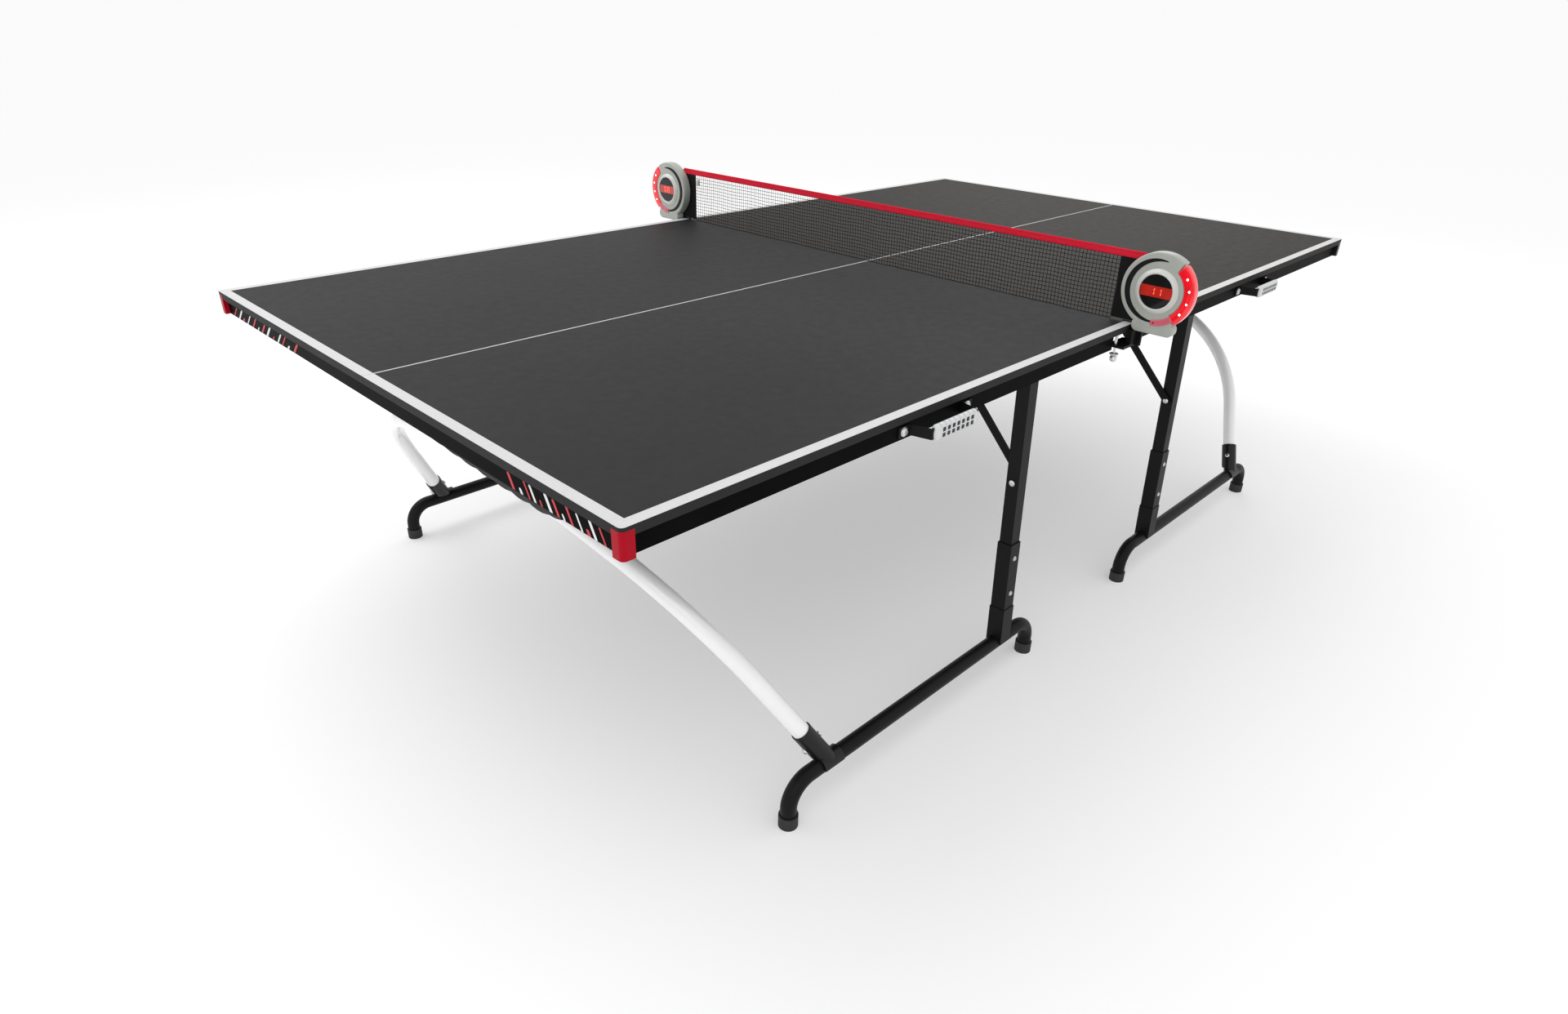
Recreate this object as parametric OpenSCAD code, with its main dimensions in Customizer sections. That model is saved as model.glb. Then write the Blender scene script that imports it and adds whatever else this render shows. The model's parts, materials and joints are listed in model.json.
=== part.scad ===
// Table tennis table: four-panel top on two halves, folding legs, bridging arches and scoring net posts

/* [Top] */
// Length of the playing surface
top_l = 2743; // [2200:1:3200]
// Width of the playing surface
top_w = 1525; // [1200:1:1850]
// Height of the playing surface above the floor
top_h = 762; // [640:1:920]
// Thickness of each top panel
board_t = 15; // [10:1:25]
// Radius of the top's outer corners
board_r = 8; // [3:1:20]
// Gap between neighbouring panels
seam = 0.6; // [0.2:0.1:2]

/* [Apron and rails] */
// Height of the rails below the panels
rail_h = 35; // [28:1:60]
// Sheet thickness of the rails
rail_t = 2; // [1.5:0.5:4]
// Width of the rails' flange under the panels
rail_flange = 20; // [12:1:30]
// Distance from the panel's edge to the rail's face
rail_inset = 10; // [6:1:20]
// Distance from the net line to the end of the side rails
rail_end = 62; // [50:1:90]
// Width of the inner rail tubes
tube_rail_w = 26; // [20:1:40]
// Depth of the inner rail tubes
tube_rail_h = 25; // [20:1:35]
// Width of a corner cap along each edge
cap_w = 22; // [16:1:40]
// Thickness of a corner cap over the panel's edge
cap_t = 2.5; // [1.5:0.5:4]
// Distance from the playing surface to the top of a corner cap
cap_drop = 6; // [4:1:9]

/* [Legs] */
// Distance from the net line to the middle of each leg
leg_x = 358; // [300:1:420]
// Width of the upper leg tube
leg_w = 30; // [24:1:40]
// Wall thickness of the leg tubes
leg_wall = 1.8; // [1.2:0.1:3]
// Wall thickness of the lower leg sleeve
sleeve_wall = 2.1; // [1.5:0.1:4]
// Length of the lower leg sleeve, from the foot bar's middle up
sleeve_l = 252; // [180:1:320]
// Wall thickness of the welded collar round the sleeve's bottom
collar_wall = 1.5; // [1:0.1:4]
// Length of the welded collar, from the foot bar's middle up
collar_l = 90; // [60:1:120]
// Length of upper tube inside the sleeve
leg_overlap = 160; // [80:1:200]
// Distance from the table's edge to the leg's pivot
pivot_inset = 32.5; // [28:0.5:60]
// Distance from the playing surface down to the leg's pivot
pivot_drop = 40; // [36:1:60]
// Sideways lean of each leg over its length
leg_lean = 20; // [0:1:40]
// Radius of the hinge pins
pin_r = 4; // [3:0.5:6]

/* [Foot bars] */
// Radius of the foot bar tube
bar_r = 16; // [12:0.5:20]
// Wall thickness of the foot bar tube
bar_wall = 1.8; // [1.2:0.1:3]
// Height of the foot bar's middle above the floor
bar_z = 92; // [80:1:130]
// Distance from the net line to the inner foot
foot_in = 233.4; // [180:0.1:270]
// Distance from the arch's foot out to the outer foot
foot_past = 103.7; // [80:0.1:140]
// Bend radius at the foot bar's ends
bend_r = 52; // [40:1:60]
// Wall thickness of the rubber foot
pad_wall = 3; // [2:0.5:6]
// Height of the rubber foot
pad_h = 26; // [14:1:34]
// Thickness of the rubber foot's floor
pad_floor = 4; // [2:0.5:8]

/* [Braces] */
// Distance from the leg's pivot down to the brace's pivot
brace_drop = 235; // [180:1:300]
// Reach of the brace towards the table's middle
brace_reach = 237; // [180:1:300]
// Width of the brace's flat bar
brace_w = 18; // [14:1:24]
// Thickness of the brace's flat bar
brace_t = 4; // [3:0.5:6]
// Inner width of the brace's track
track_w = 12; // [9:1:16]
// Depth of the brace's track
track_h = 22; // [20:1:26]
// Distance from the middle to the inner end of the track
track_in = 120; // [60:1:140]

/* [Arches] */
// Radius of the arch tube
arch_r = 17.5; // [14:0.5:20]
// Wall thickness of the arch tube
arch_wall = 1.8; // [1.2:0.1:3]
// Distance from the table's end in to the arch's foot
arch_inset = 441.5; // [420:0.5:500]
// Outward tilt of the arch's plane
arch_tilt = 29; // [15:1:35]
// Half angle of the crown's curve
crown_a = 20.6; // [17:0.1:24]
// Length of the straight between crown and shoulder
link_l = 24; // [10:1:60]
// Radius of the shoulders
shoulder_r = 435; // [350:5:480]
// Angle turned by each shoulder
shoulder_a = 47.9; // [42:0.1:52]
// Length of each straight limb, down to the foot bar's middle
limb_l = 225; // [180:1:260]
// Wall thickness of the arch's sockets
socket_wall = 3; // [2:0.5:6]
// Length of the arch's sockets
socket_l = 92; // [60:1:120]
// Length of the saddle over the foot bar
saddle_l = 52; // [40:1:80]
// Distance from the crown's middle to the arch's pivot
lug_h = 45; // [38:1:70]
// Distance from the centre line to each arch lug
lug_y = 115; // [60:1:180]
// Thickness of the lugs and their hangers
lug_t = 5; // [4:0.5:8]
// Radius of the arch's pivot studs
stud_r = 6; // [4:0.5:8]

/* [Handles] */
// Distance from the net line to the middle of each handle
handle_x = 696; // [600:1:800]
// Distance between a handle's bolts
handle_span = 180; // [150:1:220]
// Height of the handle strap
strap_h = 20; // [14:1:24]
// Thickness of the handle strap
strap_t = 3; // [2:0.5:5]
// Distance from the rail to the strap's cross bar
handle_out = 43; // [35:1:60]
// Length of the hand grip
grip_l = 124; // [100:1:140]
// Height of the hand grip
grip_h = 30; // [26:1:34]
// Thickness of the hand grip
grip_t = 15; // [12:1:20]
// Number of slots in the hand grip
grip_slots = 8; // [5:1:10]

/* [Net and posts] */
// Height of the net above the playing surface
net_h = 152.5; // [120:0.5:190]
// Height of the net's tape
tape_h = 16; // [12:1:24]
// Thickness of the net's tape
tape_t = 3; // [2:0.5:4]
// Thickness of the mesh solid
mesh_t = 1.2; // [0.8:0.1:2]
// Width of the net's end sleeves
sleeve_band = 55; // [30:1:80]
// Distance from the table's edge to the scorer's middle
scorer_out = 48; // [46:1:70]
// Radius of the scorer housing
scorer_r = 80; // [60:1:95]
// Thickness of the scorer housing
scorer_t = 26; // [18:1:34]
// Height of the lip under the housing
lip_h = 28; // [20:1:36]
// Outer radius of the display's bezel
bezel_r = 47; // [42:1:52]
// Radius of the display
display_r = 36; // [28:1:38]
// Inner radius of the light strip
lens_r = 58; // [54:1:64]
// Upper and lower end angle of the light strip
lens_a = 52; // [40:1:60]
// Thickness of the clamp's plates
clamp_t = 6; // [4:1:8]
// Height of the clamp's upper jaw
jaw_t = 3.5; // [2.5:0.5:3.5]
// Radius of the clamp screw
screw_r = 3; // [2:0.5:4]
// Distance from the net line to the clamp screw
screw_x = 47; // [38:1:50]

/* [Pouch] */
// Length of the storage pouch
pouch_l = 516; // [300:1:560]
// Width of the storage pouch
pouch_w = 64; // [40:1:90]
// Distance from the table's centre line to the pouch
pouch_y = 125; // [60:1:160]
// Depth of the pouch below the apron
pouch_drop = 38; // [10:1:40]

/* [Hidden] */

near = -1;
far = 1;
left = 1;
right = -1;
over = 1;               // extra depth of a cut past a face
fit = 0.05;             // radial clearance of a pin in its bore
slip = 0.4;             // clearance between sliding or neighbouring parts
soft_gap = 0.3;         // clearance round a soft part
fn_fine = 96;
fn_mid = 48;

half_l = top_l / 2;
half_w = top_w / 2;
under_z = top_h - board_t;
rail_x = half_l - rail_inset;
rail_y = half_w - rail_inset;
apron_z = under_z - rail_h;

arch_x = half_l - arch_inset;
foot_out = arch_x + foot_past;
pivot_y = half_w - pivot_inset;
pivot_z = top_h - pivot_drop;
foot_y = pivot_y + leg_lean;
leg_l = sqrt(pow(pivot_z - bar_z, 2) + pow(leg_lean, 2));
splay = atan2(leg_lean, pivot_z - bar_z);
sleeve_w = leg_w + 2 * (slip + sleeve_wall);
collar_w = sleeve_w + 2 * collar_wall;
corner_reach = rail_y - rail_t - pivot_y - 2 * slip;    // keeps the turning leg's corner clear of the rail
leg_top = min(leg_w / 2, sqrt(pow(corner_reach, 2) - pow(leg_w / 2, 2)));
pad_r = bar_r + pad_wall;
ear_t = 3;
ear_h = 16;
bracket_w = 50;
screw_end = 36;         // from either end of the telescoped length to its screw
sleeve_spare = 20;      // depth of the sleeve's bore past the upper tube
plate_t = 3;

brace_z = pivot_z - brace_drop * cos(splay);
brace_y = pivot_y + brace_drop * sin(splay);
brace_off = sleeve_w / 2 + 2 * slip;                    // brace's near face, past the sleeve it folds along
brace_x = leg_x - brace_off - brace_t / 2;
brace_end_z = under_z - rail_t - brace_w / 2 - 2 * slip;
brace_rise = brace_end_z - brace_z;
brace_l = sqrt(pow(brace_reach, 2) + pow(brace_rise, 2));
brace_a = atan2(brace_rise, brace_reach);
track_out = brace_y - brace_reach + brace_w + slip;

socket_r = arch_r + socket_wall;
limb_a = crown_a + shoulder_a;
shoulder_dy = shoulder_r * (sin(limb_a) - sin(crown_a));
crown_r = (foot_y - link_l * cos(crown_a) - shoulder_dy - limb_l * cos(limb_a)) / sin(crown_a);
shoulder_c_y = foot_y - limb_l * cos(limb_a) - shoulder_r * sin(limb_a);
shoulder_c_v = limb_l * sin(limb_a) - shoulder_r * cos(limb_a);
crown_c_v = shoulder_c_v - (crown_r - shoulder_r) * cos(crown_a) + link_l * sin(crown_a);
arch_h = crown_c_v + crown_r;
arch_pivot_x = arch_x + (arch_h + lug_h) * sin(arch_tilt);
arch_pivot_z = bar_z + (arch_h + lug_h) * cos(arch_tilt);
tube_stop = 2 * bar_r;
swage = 0.2;            // growth of the tube's straights over its bends
swage_lap = 3;
bolt_l = 0.6 * socket_l;    // from the foot bar's middle up the limb to its bolt

scorer_y = half_w + scorer_out;
scorer_z = top_h + scorer_r + 4;
scorer_x = -2;
post_y = half_w + 1;
lip_z = scorer_z - scorer_r - 12;
clamp_bottom = top_h - 46;
clamp_w = 40;
clamp_deep = 12;
bezel_t = 7;
lens_deep = 0.7 * scorer_t;
knob_r = 8;
knob_z = top_h - 72;

handle_z = under_z - 20;
strap_foot = 14;        // length of the strap's foot past its bolt

// Places a part that is drawn for the far left quarter into any quarter
module quarter(side_x, side_y) {
    mirror([side_x < 0 ? 1 : 0, 0, 0])
    mirror([0, side_y < 0 ? 1 : 0, 0])
    children();
}

module both_sides() {
    for (side = [left, right]) quarter(far, side) children();
}

module all_quarters() {
    for (side_x = [near, far]) for (side_y = [left, right]) quarter(side_x, side_y) children();
}

// Cylinder along X, starting at the origin
module x_rod(r, l) {
    rotate([0, 90, 0]) cylinder(r = r, h = l, $fn = fn_mid);
}

// Cylinder along Y, starting at the origin
module y_rod(r, l) {
    rotate([-90, 0, 0]) cylinder(r = r, h = l, $fn = fn_mid);
}

// Square tube along Z
module box_tube(w, d, l, wall) {
    difference() {
        translate([-w / 2, -d / 2, 0]) cube([w, d, l]);
        translate([-w / 2 + wall, -d / 2 + wall, -over]) cube([w - 2 * wall, d - 2 * wall, l + 2 * over]);
    }
}

module corner_outline(inset) {
    intersection() {
        union() {
            square([half_l - board_r, half_w]);
            square([half_l, half_w - board_r]);
            translate([half_l - board_r, half_w - board_r]) circle(r = board_r, $fn = fn_mid);
        }
        square([half_l - inset, half_w - inset]);
    }
}

module cap_block() {
    intersection() {
        linear_extrude(rail_h + board_t - cap_drop) difference() {
            corner_outline(0);
            square([half_l - cap_t, half_w - cap_t]);
        }
        translate([half_l - cap_w, half_w - cap_w, -over]) cube([cap_w + over, cap_w + over, top_h]);
    }
}

module top_panel(side_x, side_y) {
    color([0.16, 0.16, 0.16]) quarter(side_x, side_y) difference() {
        translate([0, 0, under_z]) linear_extrude(board_t) difference() {
            corner_outline(0);
            square([seam / 2, half_w]);
            square([half_l, seam / 2]);
        }
        translate([0, 0, apron_z]) cap_block();
    }
}

module corner_caps(side_x, tint) {
    color(tint) for (side = [left, right]) quarter(side_x, side) {
        translate([0, 0, apron_z]) union() {
            cap_block();
            intersection() {
                linear_extrude(rail_h) difference() {
                    corner_outline(0);
                    square([rail_x, rail_y]);
                }
                translate([half_l - cap_w, half_w - cap_w, -over]) cube([cap_w + over, cap_w + over, top_h]);
            }
        }
    }
}

module end_apron(side_x) {
    web_x = rail_x - rail_t;
    flange_y = rail_y - rail_t - rail_flange;
    color([0.05, 0.05, 0.05]) quarter(side_x, left) {
        translate([web_x, -rail_y, apron_z]) cube([rail_t, 2 * rail_y, rail_h]);
        translate([web_x - rail_flange, -flange_y, under_z - rail_t])
            cube([rail_flange, 2 * flange_y, rail_t]);
    }
}

module side_rail(side_x, side_y) {
    rail_l = rail_x - rail_t - rail_end;
    color([0.05, 0.05, 0.05]) quarter(side_x, side_y) difference() {
        union() {
            translate([rail_end, rail_y - rail_t, apron_z]) cube([rail_l, rail_t, rail_h]);
            translate([rail_end, rail_y - rail_t - rail_flange, under_z - rail_t])
                cube([rail_l, rail_flange, rail_t]);
        }
        if (side_y == right) handle_bolt_places()
            translate([0, -rail_t - over, 0]) y_rod(screw_r + fit, rail_t + 2 * over);
    }
}

module cross_rails() {
    span = 2 * (rail_y - rail_t - rail_flange);
    color([0.05, 0.05, 0.05]) for (side = [near, far]) quarter(side, left)
        translate([rail_end + tube_rail_w / 2, -span / 2, under_z - tube_rail_h / 2])
        rotate([-90, 0, 0]) box_tube(tube_rail_w, tube_rail_h, span, rail_t);
}

module centre_rails() {
    start = rail_end + tube_rail_w;
    span = rail_x - rail_t - rail_flange - start;
    color([0.05, 0.05, 0.05]) for (side = [near, far]) quarter(side, left)
        translate([start, 0, under_z - tube_rail_h / 2])
        rotate([0, 90, 0]) box_tube(tube_rail_h, tube_rail_w, span, rail_t);
}

module ear_outline() {
    circle(r = ear_h, $fn = fn_mid);
    translate([-ear_h, 0]) square([2 * ear_h, pivot_drop - board_t - rail_t - slip]);
}

module leg_brackets() {
    gap = leg_w / 2 + slip;
    plate_y = rail_y - rail_t - rail_flange - bracket_w - slip;
    ear_top = under_z - plate_t;
    color([0.08, 0.08, 0.08]) all_quarters() translate([leg_x, 0, 0]) difference() {
        union() {
            translate([-bracket_w / 2, plate_y, ear_top]) cube([bracket_w, bracket_w, plate_t]);
            for (side = [-gap - ear_t, gap]) {
                translate([side, pivot_y, pivot_z]) rotate([90, 0, 90])
                    linear_extrude(ear_t) ear_outline();
                translate([side, plate_y, pivot_z]) cube([ear_t, pivot_y - plate_y, ear_top - pivot_z]);
            }
        }
        translate([-bracket_w, pivot_y, pivot_z]) x_rod(pin_r + fit, 2 * bracket_w);
    }
}

module leg_pins() {
    gap = leg_w / 2 + slip + ear_t;
    head_t = 3;
    color([0.6, 0.6, 0.62]) all_quarters() translate([leg_x, pivot_y, pivot_z]) {
        translate([-gap, 0, 0]) x_rod(pin_r, 2 * gap);
        translate([-gap - head_t, 0, 0]) x_rod(pin_r + 2, head_t);
        translate([gap, 0, 0]) x_rod(pin_r + 2, head_t);
    }
}

module brace_tracks() {
    track_l = track_out - track_in;
    color([0.08, 0.08, 0.08]) all_quarters() translate([brace_x, track_in, under_z]) {
        translate([-track_w / 2 - rail_t, 0, -rail_t]) cube([track_w + 2 * rail_t, track_l, rail_t]);
        for (side = [-track_w / 2 - rail_t, track_w / 2])
            translate([side, 0, -track_h]) cube([rail_t, track_l, track_h]);
    }
}

// Puts a leg's own frame, with its pivot at the origin, under the table
module on_leg(side_x, side_y) {
    quarter(side_x, side_y) translate([leg_x, pivot_y, pivot_z]) rotate([splay, 0, 0]) children();
}

module leg_tube(side_x, side_y) {
    tube_l = leg_l - sleeve_l + leg_overlap;
    color([0.06, 0.06, 0.06]) on_leg(side_x, side_y) difference() {
        translate([0, 0, -tube_l]) box_tube(leg_w, leg_w, tube_l + leg_top, leg_wall);
        translate([-leg_w, 0, 0]) x_rod(pin_r + fit, 2 * leg_w);
        translate([-leg_w, 0, -brace_drop]) x_rod(pin_r + fit, 2 * leg_w);
        leg_screw_places() translate([0, -leg_w, 0]) y_rod(screw_r + fit, leg_w);
    }
}

// Screws that hold the upper tube in the sleeve
module leg_screw_places() {
    for (drop = [screw_end, leg_overlap - screw_end])
        translate([0, sleeve_w / 2, -leg_l + sleeve_l - drop]) children();
}

module foot_bend(r) {
    rotate([90, 0, 0]) rotate_extrude(angle = 90, $fn = fn_fine)
        translate([bend_r, 0]) circle(r = r, $fn = fn_mid);
}

module foot_outline(r, end_z) {
    straight_l = foot_out - foot_in - 2 * bend_r;
    drop = bar_z - bend_r - end_z;
    translate([foot_in + bend_r, 0, bar_z]) x_rod(r, straight_l);
    translate([foot_out - bend_r, 0, bar_z - bend_r]) foot_bend(r);
    translate([foot_in + bend_r, 0, bar_z - bend_r]) mirror([1, 0, 0]) foot_bend(r);
    for (x = [foot_in, foot_out]) translate([x, 0, end_z]) cylinder(r = r, h = drop, $fn = fn_mid);
}

module foot_frame(side_x, side_y) {
    bore = leg_w + 2 * slip;
    bore_l = leg_overlap + sleeve_spare;
    color([0.06, 0.06, 0.06]) difference() {
        union() {
            quarter(side_x, side_y) translate([0, foot_y, 0]) foot_outline(bar_r, pad_floor + slip);
            on_leg(side_x, side_y) translate([0, 0, -leg_l]) {
                translate([-sleeve_w / 2, -sleeve_w / 2, 0]) cube([sleeve_w, sleeve_w, sleeve_l]);
                translate([-collar_w / 2, -collar_w / 2, 0]) cube([collar_w, collar_w, collar_l]);
            }
        }
        on_leg(side_x, side_y) {
            translate([-bore / 2, -bore / 2, -leg_l + sleeve_l - bore_l]) cube([bore, bore, bore_l + over]);
            leg_screw_places() translate([0, -leg_w / 2, 0]) y_rod(screw_r + fit, leg_w);
        }
    }
}

module foot_pads(side_x, side_y) {
    color([0.1, 0.1, 0.1]) quarter(side_x, side_y) for (x = [foot_in, foot_out])
        translate([x, foot_y, 0]) difference() {
            cylinder(r = pad_r, h = pad_h, $fn = fn_mid);
            translate([0, 0, pad_floor]) cylinder(r = bar_r + fit, h = pad_h, $fn = fn_mid);
        }
}

module leg_bolts(side_x, side_y) {
    head_r = pin_r + 3;
    head_t = 4;
    reach = brace_off + brace_t + slip;
    shoulder_l = brace_off - slip - leg_w / 2;
    color([0.62, 0.62, 0.64]) on_leg(side_x, side_y) {
        translate([-reach, 0, -brace_drop]) x_rod(pin_r, reach + leg_w / 2);
        translate([-reach - head_t, 0, -brace_drop]) x_rod(head_r, head_t);
        translate([-leg_w / 2 - shoulder_l, 0, -brace_drop]) x_rod(head_r, shoulder_l);
        translate([leg_w / 2, 0, -brace_drop]) x_rod(head_r, head_t);
        leg_screw_places() {
            translate([0, -sleeve_w / 2, 0]) y_rod(screw_r, sleeve_w / 2);
            y_rod(2 * screw_r, screw_r);
        }
    }
}

module brace(side_x, side_y) {
    color([0.07, 0.07, 0.07]) quarter(side_x, side_y)
        translate([brace_x - brace_t / 2, brace_y, brace_z]) rotate([180 - brace_a, 0, 0]) {
            difference() {
                union() {
                    x_rod(brace_w / 2, brace_t);
                    translate([0, 0, -brace_w / 2]) cube([brace_t, brace_l, brace_w]);
                    translate([0, brace_l, 0]) x_rod(brace_w / 2, brace_t);
                }
                translate([-over, 0, 0]) x_rod(pin_r + fit, brace_t + 2 * over);
            }
            translate([brace_t / 2 - track_w / 2 + slip, brace_l, 0]) x_rod(pin_r, track_w - 2 * slip);
        }
}

// Puts the arch's plane, with Y up its slope and X across the table, on the foot bars
module in_arch_plane(side_x) {
    quarter(side_x, left) translate([arch_x, 0, bar_z])
        rotate([0, arch_tilt, 0]) rotate([90, 0, 90]) children();
}

// Curved rod between two angles from the arch's upright
module arc_rod(r, bend, from_a, to_a) {
    rotate([0, 0, 90 - to_a]) rotate_extrude(angle = to_a - from_a, $fn = 2 * fn_fine)
        translate([bend, 0]) circle(r = r, $fn = fn_mid);
}

// Straight rod that climbs from its lower end at the given angle from the cross axis
module straight_rod(r, l, lean_a) {
    rotate([-90, 0, 90 - lean_a]) cylinder(r = r, h = l, $fn = fn_mid);
}

module crown(r) {
    translate([0, crown_c_v, 0]) arc_rod(r, crown_r, -crown_a, crown_a);
}

// Part of a limb, between two distances from the foot bar's middle
module limb(r, from_l, to_l) {
    translate([foot_y - from_l * cos(limb_a), from_l * sin(limb_a), 0])
        straight_rod(r, to_l - from_l, limb_a);
}

module both_limbs() {
    for (side = [0, 1]) mirror([side, 0, 0]) children();
}

// The whole bent rod; its straights are swaged by a small step and lap over the bends
module arch_rods(r, step) {
    link_y = shoulder_c_y + shoulder_r * sin(crown_a) + swage_lap * cos(crown_a);
    link_v = shoulder_c_v + shoulder_r * cos(crown_a) - swage_lap * sin(crown_a);
    crown(r);
    both_limbs() {
        translate([link_y, link_v, 0]) straight_rod(r + step, link_l + 2 * swage_lap, crown_a);
        translate([shoulder_c_y, shoulder_c_v, 0]) arc_rod(r, shoulder_r, crown_a, limb_a);
        limb(r + step, tube_stop, limb_l + swage_lap);
    }
}

module lug_plate() {
    difference() {
        union() {
            translate([0, lug_h, 0]) cylinder(r = arch_r, h = lug_t, $fn = fn_mid);
            translate([-arch_r, 0, 0]) cube([2 * arch_r, lug_h, lug_t]);
        }
        translate([0, lug_h, -over]) cylinder(r = stud_r + fit, h = lug_t + 2 * over, $fn = fn_mid);
    }
}

module socket_bolt_places() {
    both_limbs() translate([foot_y - bolt_l * cos(limb_a), bolt_l * sin(limb_a), -2 * arch_r]) children();
}

module socket_bolt_holes() {
    socket_bolt_places() cylinder(r = screw_r + fit, h = 4 * arch_r, $fn = fn_mid);
}

module arch_tube(side_x) {
    color([0.94, 0.94, 0.94]) in_arch_plane(side_x) difference() {
        union() {
            arch_rods(arch_r, swage);
            both_limbs() translate([lug_y - lug_t, arch_h, 0]) rotate([0, 90, 0]) lug_plate();
        }
        arch_rods(arch_r - arch_wall, -swage);
        socket_bolt_holes();
    }
}

module arch_sockets(side_x) {
    saddle_r = max(socket_r, bar_r + socket_wall) + slip;
    sweep = 3 * saddle_r;
    color([0.05, 0.05, 0.05]) difference() {
        union() {
            in_arch_plane(side_x) both_limbs() limb(socket_r, 0, socket_l);
            for (side = [left, right]) quarter(side_x, side)
                translate([arch_x - saddle_l / 2 + slip, foot_y, bar_z]) x_rod(saddle_r, saddle_l);
        }
        in_arch_plane(side_x) {
            both_limbs() limb(arch_r + swage + fit, tube_stop - fit, 2 * socket_l);
            socket_bolt_holes();
        }
        for (side = [left, right]) quarter(side_x, side) translate([arch_x - saddle_l, foot_y, bar_z]) {
            x_rod(bar_r + slip, 2 * saddle_l);
            translate([0, -sweep, -sweep]) cube([2 * saddle_l, sweep, sweep + bar_r + 2 * slip]);
            translate([0, -saddle_r, -sweep]) cube([2 * saddle_l, sweep, sweep]);
        }
    }
}

module socket_bolts(side_x) {
    head_t = 4;
    color([0.7, 0.7, 0.72]) in_arch_plane(side_x) socket_bolt_places() translate([0, 0, 2 * arch_r]) {
        translate([0, 0, -socket_r]) cylinder(r = screw_r, h = 2 * socket_r, $fn = fn_mid);
        translate([0, 0, socket_r]) cylinder(r = 2.2 * screw_r, h = head_t, $fn = fn_mid);
        translate([0, 0, -socket_r - head_t]) cylinder(r = 2.2 * screw_r, h = head_t, $fn = fn_mid);
    }
}

module arch_hangers() {
    hanger_w = 50;
    plate_w = 60;
    hang_y = lug_y + slip;
    hang_h = under_z - arch_pivot_z;
    color([0.07, 0.07, 0.07]) all_quarters() translate([arch_pivot_x, hang_y, arch_pivot_z]) {
        translate([0, lug_t, 0]) rotate([90, 0, 0]) linear_extrude(lug_t) union() {
            circle(r = hanger_w / 2, $fn = fn_mid);
            translate([-hanger_w / 2, 0]) square([hanger_w, hang_h]);
        }
        translate([-plate_w / 2, 0, hang_h - plate_t]) cube([plate_w, plate_w / 2, plate_t]);
        translate([0, -lug_t - 2 * slip, 0]) y_rod(stud_r, lug_t + 2 * slip);
    }
}

module handle_bolt_places() {
    for (side = [-1, 1]) translate([handle_x + side * handle_span / 2, rail_y, handle_z]) children();
}

module strap_outline() {
    foot = handle_span / 2 + strap_foot;
    knee = handle_span / 2 - strap_foot - 2;
    bar = grip_l / 2 + strap_t + 1;
    turn = strap_t / 3;     // shift of the outer corners that keeps the arms as thick as the feet
    polygon([[-foot, 0], [-knee, 0], [-bar + turn, handle_out - strap_t], [bar - turn, handle_out - strap_t],
        [knee, 0], [foot, 0], [foot, strap_t], [knee + 2 * turn, strap_t], [bar, handle_out], [-bar, handle_out],
        [-knee - 2 * turn, strap_t], [-foot, strap_t]]);
}

module handle_straps() {
    color([0.05, 0.05, 0.05]) for (side = [near, far]) quarter(side, right) difference() {
        translate([handle_x, rail_y, handle_z - strap_h / 2]) linear_extrude(strap_h) strap_outline();
        handle_bolt_places() translate([0, -over, 0]) y_rod(screw_r + fit, strap_t + 2 * over);
    }
}

module grip_outline(h, t) {
    translate([-t / 2, -h / 2 + t / 2]) square([t, h - t]);
    for (side = [-1, 1]) translate([0, side * (h - t) / 2]) circle(r = t / 2, $fn = fn_mid);
}

module handle_grips() {
    pitch = grip_l / (grip_slots + 0.5);
    slot_w = pitch / 2;
    bar_y = handle_out - strap_t / 2;
    color([0.8, 0.8, 0.8]) for (side = [near, far]) quarter(side, right)
        translate([handle_x, rail_y + bar_y, handle_z]) difference() {
            translate([-grip_l / 2, 0, 0]) rotate([90, 0, 90]) linear_extrude(grip_l) grip_outline(grip_h, grip_t);
            translate([-grip_l, -strap_t / 2 - fit, -strap_h / 2 - fit])
                cube([2 * grip_l, strap_t + 2 * fit, strap_h + 2 * fit]);
            for (i = [0 : grip_slots - 1])
                translate([-grip_l / 2 + (i + 0.5) * pitch, strap_t / 2, -grip_h / 4])
                    cube([slot_w, grip_t, grip_h / 2]);
        }
}

module handle_bolts() {
    head_t = 4;
    color([0.7, 0.7, 0.72]) for (side = [near, far]) quarter(side, right) handle_bolt_places() {
        translate([0, -rail_t - head_t, 0]) y_rod(2 * screw_r, head_t);
        translate([0, -rail_t, 0]) y_rod(screw_r, rail_t + strap_t);
        translate([0, strap_t, 0]) y_rod(2.4 * screw_r, head_t);
    }
}

module storage_pouch() {
    back = rail_x - rail_t - soft_gap;
    top_z = under_z - rail_t - soft_gap;
    depth = top_z - (apron_z - pouch_drop);
    round_r = 20;
    color([0.06, 0.06, 0.06]) translate([-back, -pouch_y, top_z - depth]) rotate([90, 0, 0])
        linear_extrude(pouch_l) union() {
            translate([0, round_r]) square([pouch_w, depth - round_r]);
            translate([round_r, 0]) square([pouch_w - 2 * round_r, depth]);
            for (x = [round_r, pouch_w - round_r]) translate([x, round_r]) circle(r = round_r, $fn = fn_mid);
        }
}

module net_sheet(y0, y1, z0, z1, t) {
    translate([-t / 2, y0, z0]) cube([t, y1 - y0, z1 - z0]);
}

module net_mesh() {
    edge = half_w - sleeve_band;
    color([0.1, 0.1, 0.1])
        net_sheet(-edge, edge, top_h + soft_gap, top_h + net_h - tape_h, mesh_t);
}

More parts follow.
